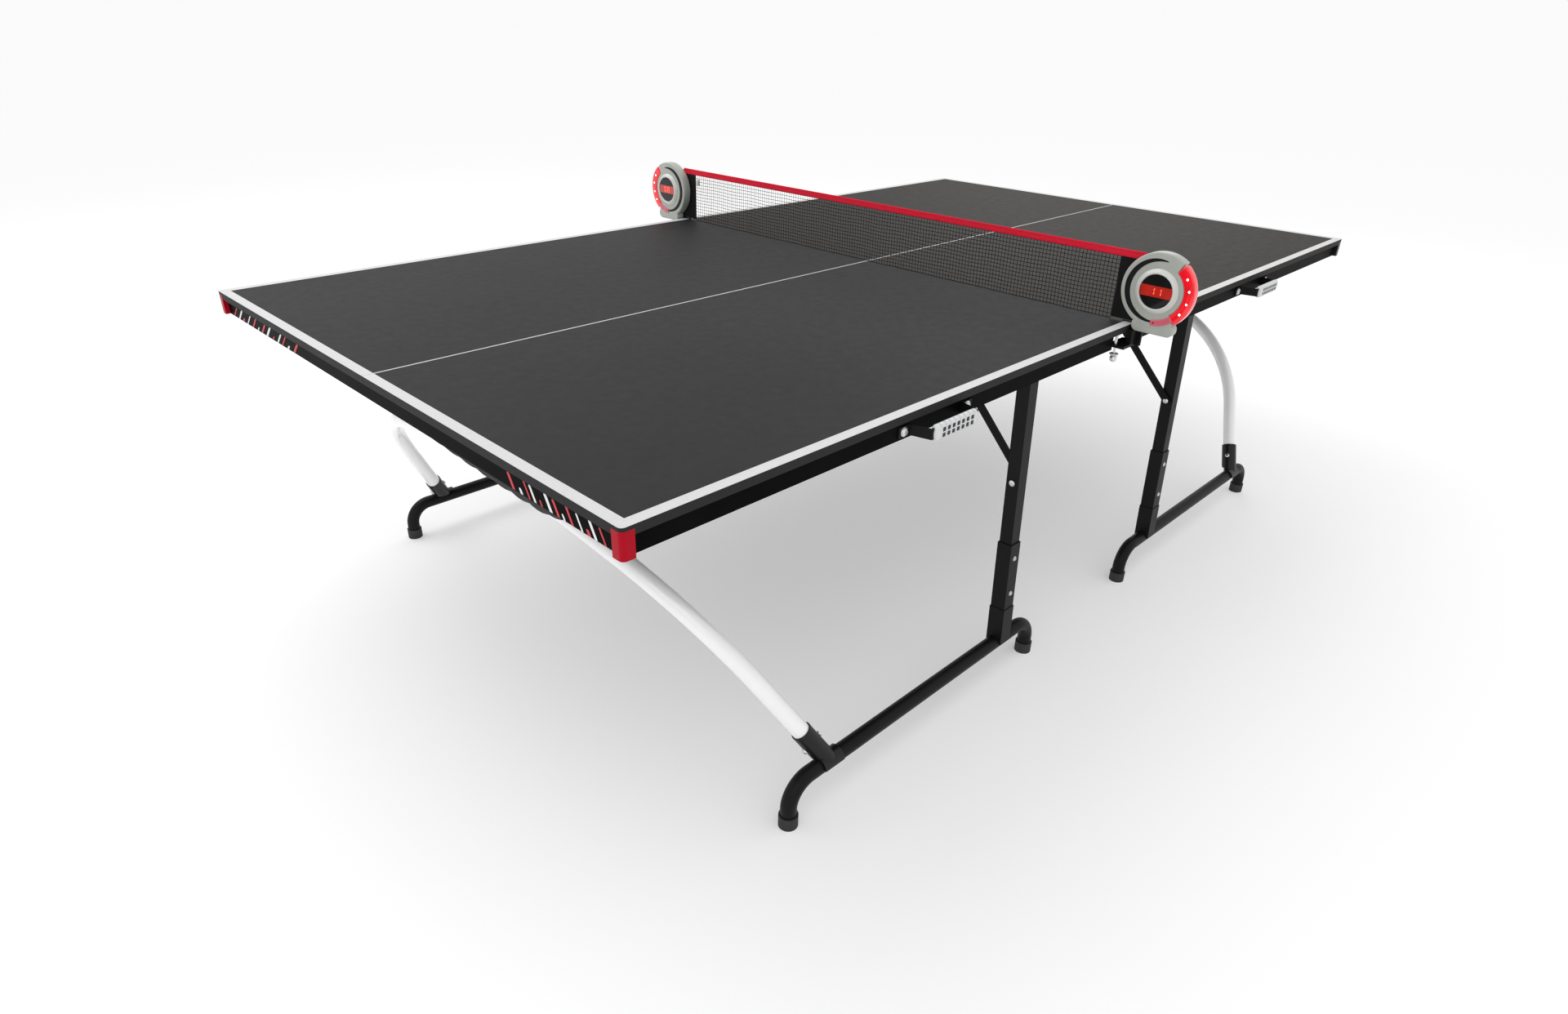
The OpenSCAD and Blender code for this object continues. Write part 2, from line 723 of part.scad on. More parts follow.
module net_tape() {
    color([0.85, 0.05, 0.12])
        net_sheet(-half_w, half_w, top_h + net_h - tape_h, top_h + net_h, tape_t);
}

module net_sleeves() {
    color([0.07, 0.07, 0.07]) both_sides()
        net_sheet(half_w - sleeve_band, half_w + soft_gap, top_h + jaw_t + soft_gap, top_h + net_h - tape_h,
            2 * mesh_t);
}

module net_clamps() {
    post_x = scorer_x;
    post_w = 22;
    jaw_in = 26;
    post_drop = 6;          // from the tape's top down to the post's
    screw_edge = 8;
    block_x = -0.65 * clamp_w;
    color([0.06, 0.06, 0.06]) both_sides() difference() {
        union() {
            translate([post_x, post_y, clamp_bottom]) cube([clamp_t, post_w, top_h + net_h - clamp_bottom - post_drop]);
            translate([block_x, post_y, clamp_bottom]) cube([clamp_w, clamp_deep, lip_z - clamp_bottom - slip]);
            translate([post_x, post_y - jaw_in, top_h]) cube([clamp_t, jaw_in + over, jaw_t]);
            translate([-screw_x - screw_edge, post_y - jaw_in, clamp_bottom])
                cube([screw_x + screw_edge + block_x + clamp_w, jaw_in + clamp_deep, clamp_t]);
        }
        translate([-screw_x, rail_y, clamp_bottom - over])
            cylinder(r = screw_r + fit, h = clamp_t + 2 * over, $fn = fn_mid);
    }
}

module clamp_screw(side_y) {
    pad_t = 4;
    color([0.65, 0.65, 0.67]) quarter(far, side_y) translate([-screw_x, rail_y, 0]) {
        translate([0, 0, knob_z]) cylinder(r = screw_r, h = under_z - knob_z - pad_t / 2, $fn = fn_mid);
        translate([0, 0, under_z - pad_t]) cylinder(r = 2 * screw_r, h = pad_t - fit, $fn = fn_mid);
        translate([0, 0, knob_z]) sphere(r = knob_r, $fn = fn_mid);
    }
}

// Puts the scorer's face, drawn in XY, into the plane across the table
module on_scorer(side_y, lift) {
    quarter(far, side_y) translate([scorer_x - scorer_t - lift, scorer_y, scorer_z]) rotate([90, 0, 90]) children();
}

module lens_outline(r_in, r_out) {
    reach = 2 * scorer_r;
    intersection() {
        difference() {
            circle(r = r_out, $fn = fn_fine);
            circle(r = r_in, $fn = fn_fine);
        }
        polygon([[0, 0], [reach * cos(lens_a), -reach * sin(lens_a)], [reach, 0],
            [reach * cos(lens_a), reach * sin(lens_a)]]);
    }
}

module housing_outline() {
    lip_in = post_y - scorer_y + 4;
    lip_out = scorer_r * 0.8;
    circle(r = scorer_r, $fn = fn_fine);
    translate([lip_in + lip_h / 2, lip_z - scorer_z + lip_h / 2]) circle(r = lip_h / 2, $fn = fn_mid);
    translate([lip_out - lip_h / 2, lip_z - scorer_z + lip_h / 2]) circle(r = lip_h / 2, $fn = fn_mid);
    translate([lip_in + lip_h / 2, lip_z - scorer_z]) square([lip_out - lip_in - lip_h, lip_h]);
}

module scorer_housings() {
    color([0.66, 0.67, 0.66]) for (side = [left, right]) on_scorer(side, 0) difference() {
        linear_extrude(scorer_t) housing_outline();
        translate([0, 0, -over]) linear_extrude(lens_deep + over) lens_outline(lens_r, scorer_r + over);
    }
}

module scorer_lenses() {
    color([0.85, 0.05, 0.08]) for (side = [left, right]) on_scorer(side, 1)
        linear_extrude(lens_deep + 1) lens_outline(lens_r + fit, scorer_r);
}

module scorer_bezels() {
    color([0.75, 0.76, 0.75]) for (side = [left, right]) on_scorer(side, bezel_t)
        rotate_extrude($fn = fn_fine) polygon([[display_r + fit, 0], [display_r + 3, 0], [bezel_r, bezel_t - 1],
            [bezel_r, bezel_t], [display_r + fit, bezel_t]]);
}

module scorer_displays() {
    display_t = 4;
    color([0.03, 0.03, 0.03]) for (side = [left, right]) on_scorer(side, display_t)
        cylinder(r = display_r, h = display_t, $fn = fn_fine);
}

top_panel(near, left);  // top_panel_near_left
top_panel(near, right);  // top_panel_near_right
top_panel(far, left);  // top_panel_far_left
top_panel(far, right);  // top_panel_far_right
end_apron(near);  // end_apron_near
end_apron(far);  // end_apron_far
side_rail(near, left);  // side_rail_near_left
side_rail(near, right);  // side_rail_near_right
side_rail(far, left);  // side_rail_far_left
side_rail(far, right);  // side_rail_far_right
centre_rails();
cross_rails();
corner_caps(near, [0.72, 0.02, 0.1]);  // corner_caps_near
corner_caps(far, [0.06, 0.06, 0.06]);  // corner_caps_far
leg_brackets();
leg_pins();
brace_tracks();
arch_hangers();
handle_straps();
handle_grips();
handle_bolts();
storage_pouch();
net_mesh();
net_tape();
net_sleeves();
net_clamps();
scorer_housings();
scorer_bezels();
scorer_displays();
scorer_lenses();
clamp_screw(left);  // clamp_screw_left
clamp_screw(right);  // clamp_screw_right
leg_tube(near, left);  // leg_tube_near_left
leg_tube(near, right);  // leg_tube_near_right
leg_tube(far, left);  // leg_tube_far_left
leg_tube(far, right);  // leg_tube_far_right
foot_frame(near, left);  // foot_frame_near_left
foot_frame(near, right);  // foot_frame_near_right
foot_frame(far, left);  // foot_frame_far_left
foot_frame(far, right);  // foot_frame_far_right
foot_pads(near, left);  // foot_pads_near_left
foot_pads(near, right);  // foot_pads_near_right
foot_pads(far, left);  // foot_pads_far_left
foot_pads(far, right);  // foot_pads_far_right
leg_bolts(near, left);  // leg_bolts_near_left
leg_bolts(near, right);  // leg_bolts_near_right
leg_bolts(far, left);  // leg_bolts_far_left
leg_bolts(far, right);  // leg_bolts_far_right
brace(near, left);  // brace_near_left
brace(near, right);  // brace_near_right
brace(far, left);  // brace_far_left
brace(far, right);  // brace_far_right
arch_tube(near);  // arch_tube_near
arch_tube(far);  // arch_tube_far
arch_sockets(near);  // arch_sockets_near
arch_sockets(far);  // arch_sockets_far
socket_bolts(near);  // socket_bolts_near
socket_bolts(far);  // socket_bolts_far
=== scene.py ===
# Table tennis table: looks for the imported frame. Metres, same frame as the model.
import json
import math
import bmesh
import bpy
from mathutils import Matrix, Vector


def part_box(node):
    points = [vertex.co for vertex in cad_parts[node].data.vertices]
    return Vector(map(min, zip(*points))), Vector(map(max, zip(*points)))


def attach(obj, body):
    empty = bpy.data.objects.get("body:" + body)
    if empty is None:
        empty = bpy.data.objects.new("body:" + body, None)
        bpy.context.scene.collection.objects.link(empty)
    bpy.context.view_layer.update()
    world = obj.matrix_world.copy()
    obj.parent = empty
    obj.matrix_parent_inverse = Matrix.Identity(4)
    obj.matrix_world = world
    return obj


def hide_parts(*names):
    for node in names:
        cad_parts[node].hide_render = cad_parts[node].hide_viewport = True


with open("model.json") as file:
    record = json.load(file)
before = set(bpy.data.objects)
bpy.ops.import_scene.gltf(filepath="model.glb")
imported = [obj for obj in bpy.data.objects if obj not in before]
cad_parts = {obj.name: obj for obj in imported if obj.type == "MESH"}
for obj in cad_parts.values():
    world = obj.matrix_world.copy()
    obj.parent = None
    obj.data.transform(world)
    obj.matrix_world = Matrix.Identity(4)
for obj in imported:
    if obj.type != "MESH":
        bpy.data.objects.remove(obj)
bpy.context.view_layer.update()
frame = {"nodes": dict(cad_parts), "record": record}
nodes = frame["nodes"]
print("frame loaded:", len(nodes), "nodes")

near, far = -1, 1
left, right = 1, -1
quarters = {"near_left": (near, left), "near_right": (near, right),
            "far_left": (far, left), "far_right": (far, right)}

topLo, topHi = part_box("top_panel_far_left")
halfLength, halfWidth = topHi.x, topHi.y
surfaceZ, underZ = topHi.z, topLo.z


cameraSet = {
    "place": (-1.9711, -1.6381, 1.3437),
    "heading": 0.77507,      # radians from +X towards +Y
    "down": 0.48125,         # radians below the horizon
    "roll": 0.02362,         # radians
    "lens": 36.0 * 1155.4 / 1920,
}


def makeCamera():
    heading, down, roll = cameraSet["heading"], cameraSet["down"], cameraSet["roll"]
    level = Vector((math.cos(heading), math.sin(heading), 0))
    forward = level * math.cos(down) - Vector((0, 0, math.sin(down)))
    across = Vector((math.sin(heading), -math.cos(heading), 0))
    up = across.cross(forward)
    rolledAcross = across * math.cos(roll) + up * math.sin(roll)
    rolledUp = up * math.cos(roll) - across * math.sin(roll)
    data = bpy.data.cameras.new("camera")
    data.lens = cameraSet["lens"]
    data.sensor_width = 36.0
    data.clip_end = 150.0
    cam = bpy.data.objects.new("camera", data)
    turn = Matrix((rolledAcross, rolledUp, -forward)).transposed().to_4x4()
    cam.matrix_world = Matrix.Translation(cameraSet["place"]) @ turn
    bpy.context.scene.collection.objects.link(cam)
    bpy.context.scene.camera = cam


def makeLight(name, place, aim, size, watts):
    data = bpy.data.lights.new(name, "AREA")
    data.shape = "RECTANGLE"
    data.size, data.size_y = size
    data.energy = watts
    lamp = bpy.data.objects.new(name, data)
    lamp.location = place
    lamp.rotation_euler = (Vector(aim) - Vector(place)).to_track_quat("-Z", "Y").to_euler()
    bpy.context.scene.collection.objects.link(lamp)


# the floor's own glow keeps the shadow under the table pale
studioSet = {"floor": (0.70, 0.70, 0.70), "glow": 0.29, "world": (1.0, 1.0, 1.0), "worldStrength": 0.96,
             "reach": 70}


def makeStudio():
    bm = bmesh.new()
    bmesh.ops.create_grid(bm, x_segments=2, y_segments=2, size=studioSet["reach"])
    mesh = bpy.data.meshes.new("floor")
    bm.to_mesh(mesh)
    bm.free()
    floor = bpy.data.objects.new("floor", mesh)
    bpy.context.scene.collection.objects.link(floor)
    mat = bpy.data.materials.new("floorPaint")
    mat.use_nodes = True
    shader = mat.node_tree.nodes["Principled BSDF"]
    shader.inputs["Base Color"].default_value = (*studioSet["floor"], 1)
    shader.inputs["Roughness"].default_value = 0.9
    shader.inputs["Specular IOR Level"].default_value = 0.0
    shader.inputs["Emission Color"].default_value = (1, 1, 1, 1)
    shader.inputs["Emission Strength"].default_value = studioSet["glow"]
    mesh.materials.append(mat)
    world = bpy.data.worlds.new("studio")
    world.use_nodes = True
    back = world.node_tree.nodes["Background"]
    back.inputs["Color"].default_value = (*studioSet["world"], 1)
    back.inputs["Strength"].default_value = studioSet["worldStrength"]
    bpy.context.scene.world = world
    makeLight("keyLight", (-1.5, 2.5, 4.2), (0, 0, 0.6), (3.5, 3.5), 70)
    makeLight("fillLight", (-4.0, -3.0, 2.6), (0, 0, 0.6), (3.0, 2.0), 18)
    makeLight("rimLight", (4.0, 1.5, 3.2), (0, 0, 0.7), (2.5, 2.5), 22)
    bpy.context.scene.view_settings.view_transform = "Standard"


makeCamera()
makeStudio()
print("camera and studio ready")


def toned(tone, factor, lift=0.0):
    # lighter or darker version of a colour
    return tuple(min(1, c * factor + lift) for c in tone)


class Finish:
    # One procedural finish: a shader, and the nodes that vary its colour, roughness and height
    def __init__(self, name):
        self.mat = bpy.data.materials.new(name)
        self.mat.use_nodes = True
        self.tree = self.mat.node_tree
        self.shader = self.tree.nodes["Principled BSDF"]
        self.coords = self.node("ShaderNodeTexCoord").outputs["Object"]
        self.height = None

    def node(self, kind, **values):
        made = self.tree.nodes.new(kind)
        for key, value in values.items():
            setattr(made, key, value)
        return made

    def link(self, a, b):
        self.tree.links.new(a, b)

    def set(self, **values):
        for key, value in values.items():
            socket = self.shader.inputs[key.replace("_", " ")]
            socket.default_value = value if not isinstance(value, tuple) else (*value, 1)[:4]
        return self

    def stretched(self, scale):
        mapping = self.node("ShaderNodeMapping")
        mapping.inputs["Scale"].default_value = scale
        self.link(self.coords, mapping.inputs["Vector"])
        return mapping.outputs["Vector"]

    def noise(self, scale, detail=3.0, rough=0.5, vector=None):
        made = self.node("ShaderNodeTexNoise")
        made.inputs["Scale"].default_value = scale
        made.inputs["Detail"].default_value = detail
        made.inputs["Roughness"].default_value = rough
        self.link(vector or self.coords, made.inputs["Vector"])
        return made.outputs["Fac"]

    def wave(self, scale, axis):
        made = self.node("ShaderNodeTexWave", wave_type="BANDS", bands_direction=axis)
        made.inputs["Scale"].default_value = scale
        self.link(self.coords, made.inputs["Vector"])
        return made.outputs["Fac"]

    def ramp(self, fac, stops):
        made = self.node("ShaderNodeValToRGB")
        while len(made.color_ramp.elements) < len(stops):
            made.color_ramp.elements.new(0.5)
        for element, (place, tone) in zip(made.color_ramp.elements, stops):
            element.position = place
            element.color = (*tone, 1) if isinstance(tone, tuple) else (tone, tone, tone, 1)
        self.link(fac, made.inputs["Fac"])
        return made.outputs["Color"]

    def mix(self, fac, a, b):
        made = self.node("ShaderNodeMix", data_type="RGBA")
        for socket, value in ((made.inputs[0], fac), (made.inputs[6], a), (made.inputs[7], b)):
            if isinstance(value, bpy.types.NodeSocket):
                self.link(value, socket)
            else:
                socket.default_value = (*value, 1) if isinstance(value, tuple) else value
        return made.outputs[2]

    def maths(self, kind, a, b):
        made = self.node("ShaderNodeMath", operation=kind)
        for socket, value in ((made.inputs[0], a), (made.inputs[1], b)):
            if isinstance(value, bpy.types.NodeSocket):
                self.link(value, socket)
            else:
                socket.default_value = value
        return made.outputs[0]

    def colour(self, socket):
        self.link(socket, self.shader.inputs["Base Color"])
        return self

    def roughness(self, fac, low, high):
        made = self.node("ShaderNodeMapRange")
        made.inputs["To Min"].default_value = low
        made.inputs["To Max"].default_value = high
        self.link(fac, made.inputs["Value"])
        self.link(made.outputs["Result"], self.shader.inputs["Roughness"])
        return self

    def bump(self, fac, strength, distance):
        made = self.node("ShaderNodeBump")
        made.inputs["Strength"].default_value = strength
        made.inputs["Distance"].default_value = distance
        self.link(fac, made.inputs["Height"])
        if self.height is not None:
            self.link(self.height, made.inputs["Normal"])
        self.height = made.outputs["Normal"]
        self.link(self.height, self.shader.inputs["Normal"])
        return self


def panelFinish(name, tone, warm):
    # matt sprayed board: fine pebble, faint ball marks and a slow drift of tone
    f = Finish(name)
    drift = f.noise(1.6, 4.0, 0.6)
    base = f.ramp(drift, [(0.3, toned(tone, 0.93)), (0.7, toned(warm, 1.07))])
    grain = f.noise(900, 2.0, 0.6)
    marks = f.noise(38, 6.0, 0.7)
    worn = f.mix(f.ramp(marks, [(0.62, 0.0), (0.75, 0.22)]), base, toned(tone, 1.35))
    f.colour(f.mix(f.ramp(grain, [(0.35, 0.0), (0.8, 0.25)]), worn, toned(tone, 0.8)))
    f.roughness(marks, 0.5, 0.68).bump(grain, 0.25, 0.0004).bump(f.noise(14, 3.0), 0.05, 0.001)
    f.set(Specular_IOR_Level=0.13)
    return f.mat


def powderFinish(name, tone, gloss=(0.34, 0.5), shine=0.12):
    # powder coat: orange peel, dusty patches and a few rubbed places
    f = Finish(name)
    peel = f.noise(420, 2.0, 0.5)
    dust = f.noise(9, 5.0, 0.65)
    rub = f.ramp(f.noise(60, 8.0, 0.75), [(0.66, 0.0), (0.76, 0.5)])
    base = f.mix(f.ramp(dust, [(0.35, 0.0), (0.75, 0.6)]), tone, toned(tone, 1.25, 0.003))
    f.colour(f.mix(rub, base, toned(tone, 1.6, 0.004)))
    f.roughness(dust, *gloss).bump(peel, 0.12, 0.0005)
    f.set(Specular_IOR_Level=shine)
    return f.mat


def enamelFinish(name, tone):
    # glossy white tube enamel, with soft greying near the ends
    f = Finish(name)
    shade = f.noise(7, 4.0, 0.6)
    f.colour(f.ramp(shade, [(0.3, toned(tone, 0.95)), (0.7, tone)]))
    f.roughness(f.noise(30, 4.0), 0.12, 0.24).bump(f.noise(160, 2.0), 0.05, 0.0006)
    f.set(Coat_Weight=0.6, Coat_Roughness=0.08)
    return f.mat


def plasticFinish(name, tone, gloss=(0.3, 0.42), grainScale=700, grainDepth=0.12, coat=0.0, shine=0.5):
    # moulded plastic: fine spark-eroded grain, faint flow marks
    f = Finish(name)
    flow = f.noise(22, 4.0, 0.6, f.stretched((1, 1, 0.35)))
    f.colour(f.ramp(flow, [(0.3, toned(tone, 0.92)), (0.72, toned(tone, 1.05))]))
    f.roughness(f.noise(45, 5.0), *gloss).bump(f.noise(grainScale, 2.0), grainDepth, 0.0003)
    f.set(Coat_Weight=coat, Coat_Roughness=0.12, Specular_IOR_Level=shine)
    return f.mat


def metalFinish(name, tone):
    # zinc plate: brushed grain and slight staining
    f = Finish(name)
    grain = f.noise(240, 3.0, 0.6, f.stretched((1, 1, 6)))
    f.colour(f.ramp(f.noise(50, 4.0), [(0.3, toned(tone, 0.85)), (0.7, tone)]))
    f.roughness(grain, 0.22, 0.42).bump(grain, 0.08, 0.0002)
    f.set(Metallic=1.0)
    return f.mat


def rubberFinish(name, tone):
    # dull rubber, dusty in places
    f = Finish(name)
    dust = f.noise(30, 6.0, 0.7)
    f.colour(f.ramp(dust, [(0.35, tone), (0.8, toned(tone, 2.2, 0.01))]))
    f.roughness(dust, 0.7, 0.9).bump(f.noise(500, 2.0), 0.3, 0.0003)
    return f.mat


def wovenFinish(name, tone, threads, sheen=0.3, depth=0.5, axes=("X", "Z"), dark=0.35, shine=0.2):
    # plain weave: two crossing thread waves and loose fibre colour
    f = Finish(name)
    warp, weft = f.wave(threads, axes[0]), f.wave(threads, axes[1])
    weave = f.maths("MULTIPLY", warp, weft)
    fibre = f.noise(260, 5.0, 0.7)
    base = f.ramp(fibre, [(0.3, toned(tone, 0.75)), (0.7, toned(tone, 1.2))])
    f.colour(f.mix(f.ramp(weave, [(0.0, 0.45), (0.6, 0.0)]), base, toned(tone, dark)))
    f.roughness(fibre, 0.72, 0.92).bump(weave, depth, 0.0006)
    f.set(Sheen_Weight=sheen, Sheen_Roughness=0.4, Specular_IOR_Level=shine)
    return f.mat


def lensFinish(name, tone, glow, strength=0.42):
    # red translucent strip lit from inside: bright core, ribbed back
    f = Finish(name)
    ribs = f.wave(60, "Z")
    cloud = f.noise(35, 3.0)
    f.colour(f.ramp(cloud, [(0.3, toned(tone, 0.75)), (0.7, tone)]))
    f.link(f.ramp(cloud, [(0.3, toned(glow, 0.7)), (0.75, glow)]), f.shader.inputs["Emission Color"])
    f.roughness(cloud, 0.12, 0.22).bump(ribs, 0.06, 0.0006)
    f.set(Emission_Strength=strength, Coat_Weight=0.7, Coat_Roughness=0.06)
    return f.mat


def lampFinish(name, glow, strength):
    # small light, a little uneven
    f = Finish(name)
    f.link(f.ramp(f.noise(90, 2.0), [(0.2, toned(glow, 0.9)), (0.8, glow)]),
           f.shader.inputs["Emission Color"])
    f.set(Emission_Strength=strength, Roughness=0.3, Base_Color=glow)
    return f.mat


def glassFinish(name, tone):
    # smoked display window over a dark panel
    f = Finish(name)
    f.colour(f.ramp(f.noise(25, 3.0), [(0.3, tone), (0.7, toned(tone, 1.5, 0.002))]))
    f.roughness(f.noise(60, 4.0), 0.08, 0.16)
    f.set(Coat_Weight=0.15, Coat_Roughness=0.05, Specular_IOR_Level=0.35)
    return f.mat


def paintFinish(name, tone):
    # screen-printed line or stripe, slightly worn
    f = Finish(name)
    wear = f.noise(140, 6.0, 0.7)
    f.colour(f.ramp(wear, [(0.2, toned(tone, 0.86)), (0.5, tone)]))
    f.roughness(wear, 0.42, 0.6).bump(f.noise(800, 2.0), 0.15, 0.0002)
    return f.mat


finishes = {
    "panelNear": panelFinish("panelNear", (0.017, 0.017, 0.018), (0.019, 0.019, 0.019)),
    "panelFar": panelFinish("panelFar", (0.0125, 0.0095, 0.0065), (0.0115, 0.0085, 0.006)),
    "apron": powderFinish("apronCoat", (0.003, 0.003, 0.003), shine=0.012),
    "frame": powderFinish("frameCoat", (0.006, 0.006, 0.0065)),
    "bracket": powderFinish("bracketCoat", (0.005, 0.005, 0.005), (0.4, 0.55)),
    "arch": enamelFinish("archEnamel", (0.9, 0.9, 0.9)),
    "fastener": metalFinish("zincPlate", (0.7, 0.7, 0.72)),
    "socket": plasticFinish("socketNylon", (0.006, 0.006, 0.006), (0.28, 0.4), shine=0.3),
    "rubber": rubberFinish("footRubber", (0.012, 0.012, 0.012)),
    "grip": plasticFinish("gripPlastic", (0.62, 0.63, 0.64), (0.25, 0.4), 500, 0.1, 0.2),
    "fabric": wovenFinish("pouchWeave", (0.035, 0.035, 0.037), 95, 0.03, 0.9, ("Y", "Z"), 0.06),
    "sleeve": wovenFinish("sleeveWeave", (0.007, 0.007, 0.0075), 300, 0.02, 0.4, ("Y", "Z")),
    "netCord": wovenFinish("netCord", (0.003, 0.0028, 0.0025), 500, 0.0, 0.3, ("Y", "Z"), 0.35, 0.05),
    "tapeThread": wovenFinish("tapeThread", (0.5, 0.01, 0.03), 900, 0.1, 0.2, ("Y", "Z")),
    "tape": wovenFinish("tapeCotton", (0.95, 0.014, 0.045), 420, 0.02, 0.4, ("Y", "Z")),
    "housing": plasticFinish("housingPlastic", (0.36, 0.375, 0.34), (0.32, 0.45), 900, 0.15, 0.15),
    "bezel": plasticFinish("bezelPlastic", (0.56, 0.57, 0.54), (0.2, 0.3), 900, 0.05, 0.4),
    "groove": plasticFinish("groovePlastic", (0.006, 0.006, 0.006), (0.4, 0.5), shine=0.2),
    "display": glassFinish("displayGlass", (0.004, 0.0045, 0.004)),
    "displayBand": lensFinish("displayBand", (0.42, 0.015, 0.008), (0.5, 0.012, 0.006), 0.22),
    "digit": lampFinish("digitGlow", (1.0, 0.09, 0.04), 1.6),
    "lens": lensFinish("lightStrip", (0.62, 0.0, 0.01), (1.0, 0.01, 0.015)),
    "lamp": lampFinish("lampGlow", (1.0, 0.86, 0.84), 6.0),
    "tab": plasticFinish("serveTab", (0.55, 0.1, 0.13), (0.25, 0.35), 900, 0.05, 0.4),
    "whiteLine": paintFinish("whiteLine", (0.6, 0.6, 0.6)),
    "whiteBar": paintFinish("whiteBar", (0.8, 0.8, 0.8)),
    "redStripe": paintFinish("redStripe", (0.55, 0.012, 0.025)),
    "capRed": plasticFinish("capRed", (0.38, 0.0, 0.012), (0.28, 0.4), 700, 0.1, 0.0, 0.1),
    "capBlack": plasticFinish("capBlack", (0.006, 0.006, 0.006), (0.3, 0.42), shine=0.3),
}
print("finishes ready:", len(finishes))


def onlyVerts(geom):
    return [g for g in geom if isinstance(g, bmesh.types.BMVert)]


def onlyEdges(geom):
    return [g for g in geom if isinstance(g, bmesh.types.BMEdge)]


def sharpEdges(bm):
    return [e for e in bm.edges if e.is_manifold and e.calc_face_angle() > math.radians(50)]


def edgesAlongZ(bm, least):
    return [e for e in bm.edges if abs(e.verts[0].co.z - e.verts[1].co.z) > least]


def thicken(bm, height):
    # raises a flat shape in XY into a slab
    raised = bmesh.ops.extrude_face_region(bm, geom=bm.faces[:])["geom"]
    bmesh.ops.translate(bm, verts=onlyVerts(raised), vec=(0, 0, height))


def strip(bm, points):
    # chain of edges through the points, and the edges it is made of
    verts = [bm.verts.new(point) for point in points]
    return [bm.edges.new(pair) for pair in zip(verts, verts[1:])]


def roundEdges(bm, edges, size, segments=3):
    bmesh.ops.bevel(bm, geom=edges, offset=size, segments=segments, profile=0.5, affect="EDGES",
                    material=-1, clamp_overlap=True)


def block(bm, lo, hi):
    # box between two corners
    lo, hi = Vector(lo), Vector(hi)
    size, middle = hi - lo, (hi + lo) / 2
    made = bmesh.ops.create_cube(bm, size=1, matrix=Matrix.Translation(middle) @ Matrix.Diagonal((*size, 1)))
    return made["verts"]


def lathe(profile, steps):
    # turns (radius, height) points about Z
    bm = bmesh.new()
    edges = strip(bm, [(r, 0, h) for r, h in profile])
    bmesh.ops.spin(bm, geom=bm.verts[:] + edges, cent=(0, 0, 0), axis=(0, 0, 1), angle=2 * math.pi,
                   steps=steps, use_merge=True)
    bmesh.ops.remove_doubles(bm, verts=bm.verts, dist=1e-6)
    return bm


def addTo(target, part, matrix=Matrix.Identity(4)):
    # moves a part by the matrix and joins it to the target
    bmesh.ops.transform(part, matrix=matrix, verts=part.verts)
    if matrix.determinant() < 0:
        bmesh.ops.reverse_faces(part, faces=part.faces)
    temp = bpy.data.meshes.new("temp")
    part.to_mesh(temp)
    part.free()
    target.from_mesh(temp)
    bpy.data.meshes.remove(temp)


def axisMatrix(place, axis):
    # takes Z to the axis, and the origin to the place
    turn = Vector((0, 0, 1)).rotation_difference(Vector(axis).normalized()).to_matrix().to_4x4()
    return Matrix.Translation(place) @ turn


def finishPiece(name, bm, finish, body="tabletop", replaced=(), degrees=32):
    # makes the object, and says which body it rides on and which CAD nodes it stands for
    bmesh.ops.recalc_face_normals(bm, faces=bm.faces)
    mesh = bpy.data.meshes.new(name)
    bm.to_mesh(mesh)
    bm.free()
    mesh.shade_smooth()
    mesh.set_sharp_from_angle(angle=math.radians(degrees))
    mesh.materials.append(finishes[finish])
    piece = bpy.data.objects.new(name, mesh)
    bpy.context.scene.collection.objects.link(piece)
    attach(piece, body)
    if replaced:
        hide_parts(*replaced)
    return piece


def dressNodes():
    # CAD nodes that stay visible keep their shape and get a finish
    bySlot = {"panel": "panelNear", "apron": "apron", "cap_red": "capRed", "cap_black": "capBlack",
              "frame": "frame", "bracket": "bracket", "fastener": "fastener", "arch": "arch",
              "socket": "socket", "rubber": "rubber", "grip": "grip", "fabric": "fabric", "net": "netCord",
              "tape": "tape", "housing": "housing", "bezel": "bezel", "display": "display", "lens": "lens"}
    for part in frame["record"]["subparts"]:
        name = part["node"]
        chosen = "panelFar" if name.startswith("top_panel_far") else bySlot[part["material_slot"]]
        for place in nodes[name].material_slots:
            place.material = finishes[chosen]


dressNodes()
print("carried-over nodes dressed")


lineSet = {"border": 0.021, "centre": 0.0016, "proud": 0.00025, "inset": 0.0004, "corner": 0.0078,
           "seam": 0.0004}


def paintLines():
    # white border along the two outer edges and half of the centre line, on each quarter
    s = lineSet
    for name, (endWay, sideWay) in quarters.items():
        bm = bmesh.new()
        x1, y1 = halfLength - s["inset"], halfWidth - s["inset"]
        x0, y0 = x1 - s["border"], y1 - s["border"]
        outline = [(s["seam"], y1), (x1, y1), (x1, s["seam"]), (x0, s["seam"]), (x0, y0), (s["seam"], y0)]
        bm.faces.new([bm.verts.new((x, y, surfaceZ - s["proud"])) for x, y in outline])
        thicken(bm, 2 * s["proud"])
        corner = [e for e in bm.edges if all(v.co.x > x1 - 1e-5 and v.co.y > y1 - 1e-5 for v in e.verts)]
        roundEdges(bm, corner, s["corner"], 6)
        block(bm, (s["seam"], s["seam"], surfaceZ - s["proud"]),
              (x0, s["seam"] + s["centre"], surfaceZ + s["proud"]))
        bmesh.ops.scale(bm, vec=(endWay, sideWay, 1), verts=bm.verts)
        finishPiece("lines_" + name, bm, "whiteLine")


